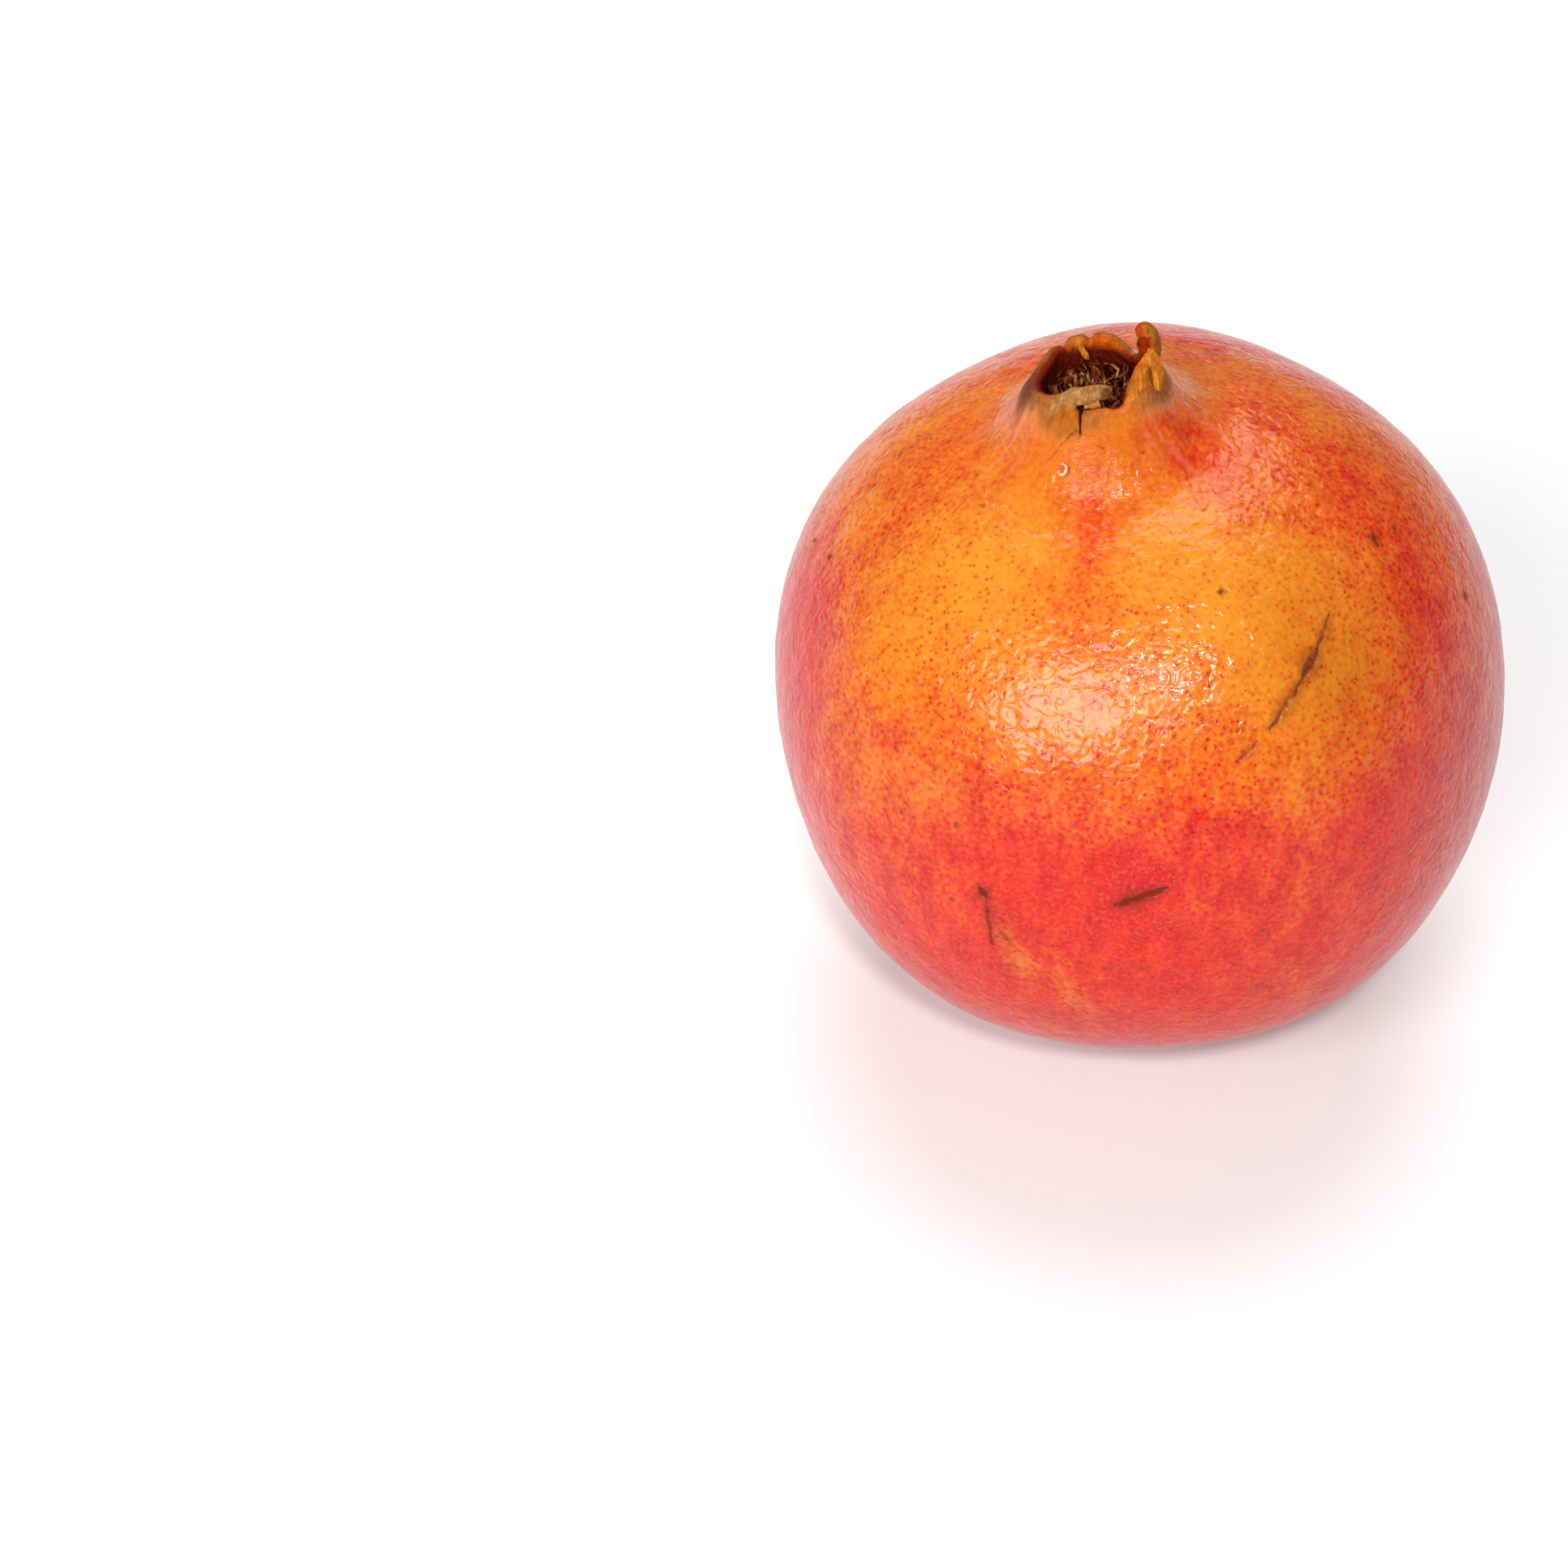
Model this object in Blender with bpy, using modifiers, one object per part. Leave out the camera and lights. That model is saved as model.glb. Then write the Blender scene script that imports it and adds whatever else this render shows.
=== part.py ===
"""A pomegranate, picked and standing on its stem end with the crown leaning to one side.

Lengths are in millimetres in the named values, and MM turns them into metres.
The fruit is first built round its own axis, with the body's centre at zero and the crown at +Z.
It is then leaned, cut flat where it rests, and set down with that flat spot at the origin.
The front of the fruit is -Y. Azimuths are degrees seen from above, 0 at +X and 90 at the back.
"""

import math
import random

import bmesh
import bpy
from mathutils import Matrix, Vector

MM = 0.001

# The body: a spheroid with full shoulders and a few shallow lobes.
BODY_RADIUS = 46.0
BODY_HALF_HEIGHT = 43.6
BODY_FULLNESS = 2.18
BODY_LOBES = ((5, 0.012, -42.0), (3, -0.0047, -56.0), (2, 0.0086, 92.0))  # count, depth, azimuth
RIDGE_AZIMUTH = 214.0
RIDGE_WIDTH = 13.0
RIDGE_HEIGHT = 0.5

# The lean, as degrees that the crown moves to the left and towards the front.
LEAN_LEFT = 9.0
LEAN_FRONT = 4.25
FLAT_DEPTH = 0.6

# The stem end: a shallow dimple, off the axis where the stem was bent, with the cut stem in it.
STEM_OFF_AXIS = 8.0
DIMPLE_RADIUS = 3.6
DIMPLE_DEPTH = 1.5
STEM_RADIUS = 2.3
STEM_PROUD = 0.9
STEM_BEVEL = 0.25
STEM_HINGE = Vector((LEAN_FRONT, -LEAN_LEFT, 0.0)).normalized()
TOUCH_GAP = 0.3

# The crown: the dried calyx, a short tube on a flared neck.
NECK_HEIGHT = 8.5
NECK_SPREAD = 18.0
RIM_RADIUS = 7.7
WALL = 1.4
CUP_RADIUS = 6.7
CUP_DEPTH = 10.5
CROWN_BEND_DEPTH = 4.5

# The uneven edge of the tube: azimuth, reach to either side, how far it rises and leans inward.
RIM_LOBES = (
    (42, 20, 30, -1.7, 0.2),
    (89, 7, 7, -0.7, 0.0),
    (100, 9, 14, 0.5, 0.3),
    (115, 7, 7, -0.6, 0.0),
    (138, 26, 26, 0.2, 0.4),
    (168, 42, 34, -1.1, 0.0),
    (236, 34, 19, 1.2, 1.4),
    (268, 12, 20, 0.3, -0.1),
    (292, 22, 12, -0.5, -0.2),
    (332, 28, 34, 2.4, 0.0),
    (6, 26, 20, 1.2, 0.0),
)

# The split below the edge at the front: azimuth, width at the edge, width at its foot, length.
SPLIT = (255.0, 0.7, 0.1, 3.4)
SPLIT_REACH = 1.7
SPLIT_ABOVE = 0.7

# Stamens left from the flower: dried threads on a disc on the cup's floor.
STAMENS = 26
STAMEN_RADIUS = 0.3
STAMEN_SIDES = 5
STAMEN_STEPS = 5
STAMEN_SEED = 7
DISC_THICKNESS = 1.2
STYLE_RADIUS = 0.55
STYLE_HEIGHT = 6.0

# Mesh sizes.
COLUMNS = 72
BODY_RINGS = 21
NECK_RINGS = 7
CUP_RINGS = 4
BLADE_STEPS = 14
BLADE_COLUMNS = 4
WELD = 0.000001


def polar(azimuth, radius, height):
    """A point from its azimuth, its distance from the axis and its height."""
    angle = math.radians(azimuth)
    return Vector((radius * math.cos(angle), radius * math.sin(angle), height))


def sideways(azimuth, width):
    """Half of a blade's width, along the rim at this azimuth."""
    return polar(azimuth + 90.0, width, 0.0)


# The sepals that are more than a lobe of the edge, with heights counted from the rim. Each has a
# thickness and its stations: a point of its middle line, half its width, how far its edges curl in.
SEPALS = {
    "tall": (
        1.1,
        (
            (polar(8, 7.0, -3.2), sideways(8, 3.0), 0.6),
            (polar(7, 7.2, -0.8), sideways(8, 3.0), 1.0),
            (polar(4, 7.7, 1.2), sideways(10, 2.8), 1.5),
            (polar(1, 8.0, 3.0), sideways(10, 2.3), 1.5),
            (polar(-1, 8.0, 4.6), sideways(5, 1.6), 0.9),
            (polar(-2, 7.6, 5.6), sideways(5, 1.3), 0.4),
            (polar(-3, 6.7, 5.9), sideways(5, 1.1), 0.2),
            (polar(-3, 6.0, 5.3), sideways(5, 0.8), 0.1),
        ),
    ),
    "folded": (
        1.1,
        (
            (polar(323, 7.0, -3.2), sideways(323, 3.2), 0.5),
            (polar(323, 7.2, -0.9), sideways(323, 3.1), 0.9),
            (polar(326, 7.4, 1.1), sideways(324, 2.5), 1.1),
            (polar(330, 7.6, 3.0), sideways(326, 1.8), 0.9),
            (polar(333, 7.8, 4.3), sideways(328, 1.2), 0.4),
            (polar(333, 7.8, 4.8), sideways(328, 0.9), 0.1),
        ),
    ),
    "flap": (
        1.0,
        (
            (polar(333, 7.5, 4.4), sideways(328, 0.9), 0.0),
            (polar(332, 8.2, 4.2), sideways(328, 1.0), 0.0),
            (polar(331, 8.8, 3.4), sideways(328, 0.9), 0.0),
            (polar(329, 9.0, 2.0), sideways(328, 0.8), 0.0),
            (polar(327, 9.1, 0.4), sideways(328, 0.5), 0.0),
        ),
    ),
    "strip": (
        1.0,
        (
            (Vector((-4.3, -4.4, 0.0)), Vector((0.3, 0.4, 0.4)), 0.0),
            (Vector((-3.4, -5.0, 0.8)), Vector((0.2, 0.7, 0.5)), 0.1),
            (Vector((-2.3, -5.4, 1.2)), Vector((0.1, 0.95, 0.6)), 0.1),
            (Vector((-0.9, -5.5, 1.3)), Vector((0.05, 0.95, 0.55)), 0.1),
            (Vector((0.5, -5.2, 1.2)), Vector((0.0, 0.8, 0.45)), 0.1),
            (Vector((1.6, -5.0, 1.05)), Vector((0.0, 0.7, 0.4)), 0.1),
            (Vector((2.1, -4.9, 1.0)), Vector((0.0, 0.45, 0.3)), 0.1),
        ),
    ),
}


def material(name, colour, roughness):
    """A plain finish."""
    made = bpy.data.materials.new(name)
    made.use_nodes = True
    shader = made.node_tree.nodes["Principled BSDF"]
    shader.inputs["Base Color"].default_value = (*colour, 1.0)
    shader.inputs["Roughness"].default_value = roughness
    shader.inputs["Metallic"].default_value = 0.0
    return made


def smooth(low, high, value):
    """0 below low, 1 above high, and an even curve between them."""
    t = min(max((value - low) / (high - low), 0.0), 1.0)
    return t * t * (3.0 - 2.0 * t)


def bump(azimuth, centre, before, after):
    """1 at the centre azimuth, falling evenly to 0 this many degrees before and after it."""
    away = (azimuth - centre + 180.0) % 360.0 - 180.0
    return 0.5 + 0.5 * math.cos(math.pi * min(abs(away) / (before if away < 0.0 else after), 1.0))


def blended(stations, share):
    """A smooth value along a list of numbers or vectors, with share from 0 to 1."""
    place = share * (len(stations) - 1)
    i = min(int(place), len(stations) - 2)
    t = place - i
    before, a, b = stations[max(i - 1, 0)], stations[i], stations[i + 1]
    after = stations[min(i + 2, len(stations) - 1)]
    curve = 2.0 * a + (b - before) * t
    curve = curve + (2.0 * before - 5.0 * a + 4.0 * b - after) * t**2
    return 0.5 * (curve + (3.0 * a - before - 3.0 * b + after) * t**3)


def body_point(angle):
    """Radius and height of the plain body, with the angle 0 at the stem end."""
    outward, upward = math.sin(angle), -math.cos(angle)
    sum_of_powers = (outward / BODY_RADIUS) ** BODY_FULLNESS
    sum_of_powers += (abs(upward) / BODY_HALF_HEIGHT) ** BODY_FULLNESS
    size = sum_of_powers ** (-1.0 / BODY_FULLNESS)
    return size * outward, size * upward


def neck_point(radius):
    """The shoulder sweeps up into the neck in one hollow curve."""
    share = (radius / BODY_RADIUS) ** BODY_FULLNESS
    shoulder = BODY_HALF_HEIGHT * (1.0 - share) ** (1.0 / BODY_FULLNESS)
    return radius, shoulder + NECK_HEIGHT * ((NECK_SPREAD - radius) / (NECK_SPREAD - RIM_RADIUS)) ** 3


RIM_HEIGHT = neck_point(RIM_RADIUS)[1]
CUP_FLOOR = RIM_HEIGHT - CUP_DEPTH
STEM_END = -BODY_HALF_HEIGHT


def fruit_outline():
    """Out from the stem end, up the body and the neck, over the rim and down into the cup."""
    points = [(0.0, STEM_END + DIMPLE_DEPTH), (DIMPLE_RADIUS - 0.5, STEM_END + DIMPLE_DEPTH)]
    points.append((DIMPLE_RADIUS, STEM_END + 0.35 * DIMPLE_DEPTH))
    points.append((DIMPLE_RADIUS + 1.2, STEM_END + 0.12))
    first = math.radians(9.0)
    last = math.pi - math.asin(NECK_SPREAD / BODY_RADIUS)
    for i in range(BODY_RINGS):
        points.append(body_point(first + (last - first) * i / BODY_RINGS))
    for i in range(NECK_RINGS + 1):
        share = 1.0 - (1.0 - i / NECK_RINGS) ** 1.3
        points.append(neck_point(NECK_SPREAD + (RIM_RADIUS - NECK_SPREAD) * share))
    inner = RIM_RADIUS - WALL
    points.append((RIM_RADIUS - 0.35 * WALL, RIM_HEIGHT + 0.35))
    points.append((inner + 0.15 * WALL, RIM_HEIGHT + 0.2))
    top, foot = RIM_HEIGHT - 0.6, CUP_FLOOR + 1.4
    for i in range(CUP_RINGS + 1):
        share = i / CUP_RINGS
        widened = inner + (CUP_RADIUS - inner) * math.sin(0.5 * math.pi * share)
        points.append((widened, top + (foot - top) * share))
    points.append((CUP_RADIUS - 1.4, CUP_FLOOR))
    points.append((0.0, CUP_FLOOR))
    return points


def grown(point):
    """Moves a point of the turned shape to where it grew."""
    radius = math.hypot(point.x, point.y)
    azimuth = math.degrees(math.atan2(point.y, point.x))
    share = radius / point.length
    swell = sum(d * math.cos(math.radians(n * azimuth + a)) for n, d, a in BODY_LOBES)
    size = 1.0 + share**2 * swell
    # One soft ridge runs from the crown down the shoulder.
    from_ridge = (azimuth % 360.0 - RIDGE_AZIMUTH) / RIDGE_WIDTH
    along = smooth(0.16, 0.4, share) * smooth(-0.1, 0.45, point.z / point.length)
    size += RIDGE_HEIGHT / BODY_RADIUS * math.exp(-(from_ridge**2)) * along
    radius *= size
    height = point.z * size
    # The tube's edge rises, dips and folds inward.
    if share < 0.3 and point.z > 0.0:
        near = smooth(RIM_HEIGHT - CROWN_BEND_DEPTH, RIM_HEIGHT, point.z) ** 1.5
        for centre, before, after, rise, lean in RIM_LOBES:
            here = near * bump(azimuth, centre, before, after)
            height += rise * here
            radius -= lean * here
    moved = polar(azimuth, radius, height)
    # The stem end turns away from the axis, against the fruit's lean.
    below = smooth(0.0, BODY_HALF_HEIGHT, -moved.z)
    return Matrix.Rotation(math.radians(STEM_OFF_AXIS) * below, 3, STEM_HINGE) @ moved


def leaned():
    """The turn from the fruit's own axis to the way it stands."""
    left, front = math.radians(LEAN_LEFT), math.radians(LEAN_FRONT)
    up = Vector((-math.sin(left) * math.cos(front), -math.sin(front), math.cos(left) * math.cos(front)))
    right = Vector((0.0, 1.0, 0.0)).cross(up).normalized()
    return Matrix((right, up.cross(right), up)).transposed().to_4x4()


def added(name, mesh):
    """An object of this mesh, in the scene."""
    made = bpy.data.objects.new(name, mesh)
    bpy.context.scene.collection.objects.link(made)
    return made


def applied(source):
    """Replaces an object by the mesh that its curve or its modifiers make, in place and welded."""
    graph = bpy.context.evaluated_depsgraph_get()
    graph.update()
    mesh = bpy.data.meshes.new_from_object(source.evaluated_get(graph))
    mesh.transform(source.matrix_world)
    shape = bmesh.new()
    shape.from_mesh(mesh)
    bmesh.ops.remove_doubles(shape, verts=shape.verts, dist=WELD)
    shape.to_mesh(mesh)
    shape.free()
    name = source.name
    bpy.data.objects.remove(source)
    return added(name, mesh)


def turned(name, outline):
    """A solid turned about Z, from an outline of (radius, height) that starts at the bottom."""
    mesh = bpy.data.meshes.new(name)
    lines = [(i, i + 1) for i in range(len(outline) - 1)]
    mesh.from_pydata([(r * MM, 0.0, z * MM) for r, z in reversed(outline)], lines, [])
    made = added(name, mesh)
    screw = made.modifiers.new("turn", "SCREW")
    screw.steps = COLUMNS
    screw.render_steps = COLUMNS
    screw.use_merge_vertices = True
    screw.merge_threshold = WELD
    return applied(made)


def blade(name, thickness, stations):
    """A curled blade: a flat grid bent along its stations, then thickened both ways."""
    points, widths, curls = zip(*stations)
    shape = bmesh.new()
    bmesh.ops.create_grid(shape, x_segments=BLADE_COLUMNS, y_segments=BLADE_STEPS, size=1.0)
    for vertex in shape.verts:
        side, along = vertex.co.x, 0.5 + 0.5 * vertex.co.y
        middle = blended(points, along)
        width = blended(widths, along)
        onward = blended(points, min(along + 0.02, 1.0)) - blended(points, max(along - 0.02, 0.0))
        inward = onward.cross(width).normalized()
        place = middle + width * side + inward * blended(curls, along) * side**2
        vertex.co = (place + Vector((0.0, 0.0, RIM_HEIGHT))) * MM
    mesh = bpy.data.meshes.new(name)
    shape.to_mesh(mesh)
    shape.free()
    made = added(name, mesh)
    wall = made.modifiers.new("thickness", "SOLIDIFY")
    wall.thickness = thickness * MM
    wall.offset = 0.0
    return applied(made)


def thread(name, points, radius, sides):
    """A thin closed tube through these points, narrowing a little to its tip."""
    curve = bpy.data.curves.new(name, "CURVE")
    curve.dimensions = "3D"
    curve.bevel_depth = radius * MM
    curve.bevel_resolution = max((sides - 4) // 2, 0)
    curve.use_fill_caps = True
    line = curve.splines.new("POLY")
    line.points.add(len(points) - 1)
    for i, (spot, place) in enumerate(zip(line.points, points)):
        spot.co = (*(place * MM), 1.0)
        spot.radius = 1.0 - 0.15 * i / (len(points) - 1)
    return applied(added(name, curve))


def joined(target, others):
    """One Boolean union of the target with all the others."""
    group = bpy.data.collections.new(target.name + "_joined")
    for other in others:
        bpy.context.scene.collection.objects.unlink(other)
        group.objects.link(other)
    bpy.context.scene.collection.children.link(group)
    union = target.modifiers.new("union", "BOOLEAN")
    union.operation = "UNION"
    union.operand_type = "COLLECTION"
    union.collection = group
    whole = applied(target)
    for other in others:
        bpy.data.objects.remove(other)
    bpy.data.collections.remove(group)
    return whole


def fruit_body():
    """The rind with its neck, calyx tube and sepals, round its own axis."""
    fruit = turned("fruit", fruit_outline())
    for vertex in fruit.data.vertices:
        vertex.co = grown(vertex.co / MM) * MM
    return joined(fruit, [blade(name, *shape) for name, shape in SEPALS.items()])


def stamen_tuft():
    """The disc on the cup's floor with its curled threads and the style in the middle."""
    floor = CUP_FLOOR + TOUCH_GAP
    edge = CUP_RADIUS - 2.2
    outline = [(0.0, floor), (edge, floor), (edge + 0.3, floor + 0.5 * DISC_THICKNESS)]
    outline += [(edge - 0.6, floor + DISC_THICKNESS), (0.0, floor + 0.8 * DISC_THICKNESS)]
    disc = turned("stamens", outline)
    root = floor + 0.5 * DISC_THICKNESS
    rise = [Vector((0.1 * i, 0.2 * i, root + STYLE_HEIGHT * i / 3.0)) for i in range(4)]
    threads = [thread("style", rise, STYLE_RADIUS, 6)]
    chance = random.Random(STAMEN_SEED)
    for i in range(STAMENS):
        azimuth = 360.0 * i * 0.618
        start = 1.3 + 2.3 * math.sqrt((i + 0.5) / STAMENS)
        length = chance.uniform(3.5, 6.0)
        lean = chance.uniform(-1.1, 1.5)
        swing = chance.uniform(-40.0, 40.0)
        points = []
        for step in range(STAMEN_STEPS + 1):
            share = step / STAMEN_STEPS
            radius = min(start + lean * math.sin(2.2 * share), CUP_RADIUS - 1.3)
            points.append(polar(azimuth + swing * share**2, radius, root + length * share))
        threads.append(thread(f"thread{i}", points, STAMEN_RADIUS, STAMEN_SIDES))
    return joined(disc, threads)


def stem_stub():
    """The cut end of the stem in its dimple, clear of the rind all round."""
    height = DIMPLE_DEPTH - TOUCH_GAP + STEM_PROUD
    shape = bmesh.new()
    low, high = STEM_RADIUS * MM, 1.1 * STEM_RADIUS * MM
    bmesh.ops.create_cone(shape, cap_ends=True, segments=24, radius1=low, radius2=high, depth=height * MM)
    for vertex in shape.verts:
        angle = math.atan2(vertex.co.y, vertex.co.x)
        vertex.co.xy *= 1.0 + 0.05 * math.cos(2.0 * angle) + 0.03 * math.cos(5.0 * angle + 1.0)
    middle = STEM_END + DIMPLE_DEPTH - TOUCH_GAP - 0.5 * height
    place = Matrix.Rotation(math.radians(STEM_OFF_AXIS), 4, STEM_HINGE)
    place @= Matrix.Translation((0.0, 0.0, middle * MM))
    bmesh.ops.transform(shape, verts=shape.verts, matrix=place)
    mesh = bpy.data.meshes.new("stem_stub")
    shape.to_mesh(mesh)
    shape.free()
    made = added("stem_stub", mesh)
    edge = made.modifiers.new("worn edge", "BEVEL")
    edge.width = STEM_BEVEL * MM
    edge.segments = 2
    edge.limit_method = "ANGLE"
    return applied(made)


def split_cutter():
    """A wedge that opens the split in the tube's edge."""
    azimuth, width, foot_width, length = SPLIT
    shape = bmesh.new()
    bmesh.ops.create_cube(shape, size=1.0)
    for vertex in shape.verts:
        top = vertex.co.z > 0.0
        vertex.co.x *= 2.0 * SPLIT_REACH * MM
        vertex.co.y *= (width if top else foot_width) * MM
        vertex.co.z = (SPLIT_ABOVE if top else -length) * MM
    place = Matrix.Translation(polar(azimuth, RIM_RADIUS - 0.2, RIM_HEIGHT) * MM)
    place @= Matrix.Rotation(math.radians(azimuth), 4, "Z") @ Matrix.Rotation(math.radians(-20.0), 4, "Y")
    bmesh.ops.transform(shape, verts=shape.verts, matrix=place)
    mesh = bpy.data.meshes.new("split_cutter")
    shape.to_mesh(mesh)
    shape.free()
    return added("split_cutter", mesh)


def resting_spot(fruit):
    """Cuts the leaned fruit flat underneath and returns the middle of the flat."""
    height = min(v.co.z for v in fruit.data.vertices) + FLAT_DEPTH * MM
    shape = bmesh.new()
    shape.from_mesh(fruit.data)
    every = list(shape.verts) + list(shape.edges) + list(shape.faces)
    plane = {"plane_co": (0.0, 0.0, height), "plane_no": (0.0, 0.0, -1.0)}
    made = bmesh.ops.bisect_plane(shape, geom=every, dist=WELD, clear_outer=True, **plane)
    ring = [part for part in made["geom_cut"] if isinstance(part, bmesh.types.BMEdge)]
    bmesh.ops.edgeloop_fill(shape, edges=ring)
    corners = {vertex for edge in ring for vertex in edge.verts}
    middle = sum((vertex.co for vertex in corners), Vector()) / len(corners)
    bmesh.ops.recalc_face_normals(shape, faces=shape.faces)
    shape.to_mesh(fruit.data)
    shape.free()
    return middle


def main():
    for old in list(bpy.data.objects):
        bpy.data.objects.remove(old)
    parts = {
        fruit_body(): material("rind", (0.72, 0.09, 0.03), 0.4),
        stamen_tuft(): material("dried flower", (0.22, 0.11, 0.04), 0.8),
        stem_stub(): material("stem wood", (0.20, 0.13, 0.07), 0.85),
    }
    cutter = split_cutter()
    for piece in [*parts, cutter]:
        piece.data.transform(leaned())
    fruit = next(iter(parts))
    middle = resting_spot(fruit)
    collection = bpy.data.collections.new("pomegranate")
    cutters = bpy.data.collections.new("cutters")
    for group in (collection, cutters):
        bpy.context.scene.collection.children.link(group)
    for piece in [*parts, cutter]:
        piece.data.transform(Matrix.Translation(-middle))
        bpy.context.scene.collection.objects.unlink(piece)
        (cutters if piece is cutter else collection).objects.link(piece)
    for piece, finish in parts.items():
        piece.data.materials.clear()
        piece.data.materials.append(finish)
        piece.data.shade_smooth()
        piece.data.set_sharp_from_angle(angle=math.radians(40.0))
    cutter.hide_render = True
    cutter.display_type = "WIRE"
    split = fruit.modifiers.new("split", "BOOLEAN")
    split.object = cutter


main()
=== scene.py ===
# %% [markdown]
# # A pomegranate, from a CAD frame to a finished fruit
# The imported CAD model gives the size, the lean and the place of every piece, and nothing here moves it.
# This lesson dresses it: a rind whose shape follows a formula, sepals that are joined into it, dried
# stamens scattered in the cup of the crown, a cut stem underneath, and the finishes of all of them.
# Named sizes are in millimetres, and MM turns them into metres. Only node trees and lamps are given in
# metres, because Blender reads them so: a noise of scale 1000 has about one feature a millimetre.

# %% The frame
import math

import bmesh
import bpy
import numpy as np
from mathutils import Matrix, Vector, noise


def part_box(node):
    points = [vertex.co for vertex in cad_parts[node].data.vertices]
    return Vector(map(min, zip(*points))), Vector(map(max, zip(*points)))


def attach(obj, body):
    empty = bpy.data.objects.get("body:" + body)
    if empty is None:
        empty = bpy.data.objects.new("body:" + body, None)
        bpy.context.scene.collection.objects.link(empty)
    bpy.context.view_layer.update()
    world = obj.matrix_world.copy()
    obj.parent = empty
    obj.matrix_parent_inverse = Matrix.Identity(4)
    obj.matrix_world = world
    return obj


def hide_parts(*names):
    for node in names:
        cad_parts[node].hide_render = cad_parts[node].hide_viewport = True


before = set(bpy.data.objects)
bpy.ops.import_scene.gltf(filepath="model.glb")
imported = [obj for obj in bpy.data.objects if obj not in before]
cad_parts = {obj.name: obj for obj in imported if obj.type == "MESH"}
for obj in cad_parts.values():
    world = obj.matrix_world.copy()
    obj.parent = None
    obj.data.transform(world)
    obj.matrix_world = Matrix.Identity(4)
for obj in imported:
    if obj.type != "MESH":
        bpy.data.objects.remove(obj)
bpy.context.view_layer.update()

MM = 0.001

# %% [markdown]
# ## The body's formula
# A pomegranate is a spheroid with full shoulders and a few shallow lobes, where the chambers of seeds
# push the rind out. A sculpted lump would also do, but a formula keeps the dense surface on the CAD's,
# because both are worked out from the same few sizes. It is written for numpy arrays, so one call
# moves every point. The fruit's own axis is Z, its body's centre is at zero, and azimuth 270 is the front.

# %% Sizes that the solids share
BODY_RADIUS = 46.0
BODY_HALF_HEIGHT = 43.6
BODY_FULLNESS = 2.18  # 2 would be an ellipse, and more is squarer
BODY_LOBES = ((5, 0.012, -42.0), (3, -0.0047, -56.0), (2, 0.0086, 92.0))  # count, depth as a share, turn
RIDGE_AZIMUTH, RIDGE_WIDTH, RIDGE_HEIGHT = 214.0, 13.0, 0.5
LEAN_LEFT, LEAN_FRONT = 9.0, 4.25  # degrees that the crown leans
FLAT_DEPTH = 0.6  # what the resting spot takes off
STEM_OFF_AXIS = 8.0  # degrees that the stem end turns away
STEM_HINGE = Vector((LEAN_FRONT, -LEAN_LEFT, 0.0)).normalized()
DIMPLE_RADIUS, DIMPLE_DEPTH = 3.6, 1.5
STEM_RADIUS, STEM_PROUD = 2.3, 0.9
NECK_HEIGHT, NECK_SPREAD = 8.5, 18.0
RIM_RADIUS, WALL = 7.7, 1.4
CUP_RADIUS, CUP_DEPTH = 6.7, 10.5
TOUCH_GAP = 0.3

# %% The edge of the crown
CROWN_SHARE = 0.3  # a point this near the axis, as a share of its distance from the centre, is the crown's
CROWN_BEND_DEPTH = 4.5  # how far below the rim its lobes still move the wall
RIM_LOBES = (
    # azimuth, degrees that it reaches before and after, how far it rises, how far it leans inward
    (42, 20, 30, -1.7, 0.2),
    (89, 7, 7, -0.7, 0.0),
    (100, 9, 14, 0.5, 0.3),
    (115, 7, 7, -0.6, 0.0),
    (138, 26, 26, 0.2, 0.4),
    (168, 42, 34, -1.1, 0.0),
    (236, 34, 19, 1.2, 1.4),
    (268, 12, 20, 0.3, -0.1),
    (292, 22, 12, -0.5, -0.2),
    (332, 28, 34, 2.4, 0.0),
    (6, 26, 20, 1.2, 0.0),
)
BITES, BITE_DEPTH, BITE_SEED = 50, 0.45, 4  # the torn edge of the tube
CALM_AZIMUTH, CALM_SHARE = 70, 0.7  # where the edge is torn less, and by how much
LIP_AZIMUTH, LIP_SWELL = 66.0, 0.35  # where the edge is rolled in, and how thick


# %% Soft steps
def smooth(low, high, value):
    """0 below low, 1 above high, and an even curve between them."""
    t = np.clip((value - low) / (high - low), 0.0, 1.0)
    return t * t * (3.0 - 2.0 * t)


def bump(azimuth, centre, before, after):
    """1 at the centre azimuth, falling evenly to 0 this many degrees before and after it."""
    away = (azimuth - centre + 180.0) % 360.0 - 180.0
    reach = np.where(away < 0.0, before, after)
    return 0.5 + 0.5 * np.cos(np.pi * np.minimum(np.abs(away) / reach, 1.0))


# %% The plain outline
def body_point(angle):
    """Radius and height of the plain body, with the angle 0 at the stem end."""
    outward, upward = np.sin(angle), -np.cos(angle)
    powers = (outward / BODY_RADIUS) ** BODY_FULLNESS + (np.abs(upward) / BODY_HALF_HEIGHT) ** BODY_FULLNESS
    return powers ** (-1.0 / BODY_FULLNESS) * outward, powers ** (-1.0 / BODY_FULLNESS) * upward


def neck_height(radius):
    """The shoulder sweeps up into the neck in one hollow curve."""
    shoulder = BODY_HALF_HEIGHT * (1.0 - (radius / BODY_RADIUS) ** BODY_FULLNESS) ** (1.0 / BODY_FULLNESS)
    return shoulder + NECK_HEIGHT * ((NECK_SPREAD - radius) / (NECK_SPREAD - RIM_RADIUS)) ** 3


RIM_HEIGHT = float(neck_height(RIM_RADIUS))
CUP_FLOOR = RIM_HEIGHT - CUP_DEPTH
STEM_END = -BODY_HALF_HEIGHT
print("the rim stands", round(RIM_HEIGHT, 1), "mm above the body's centre")


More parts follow.
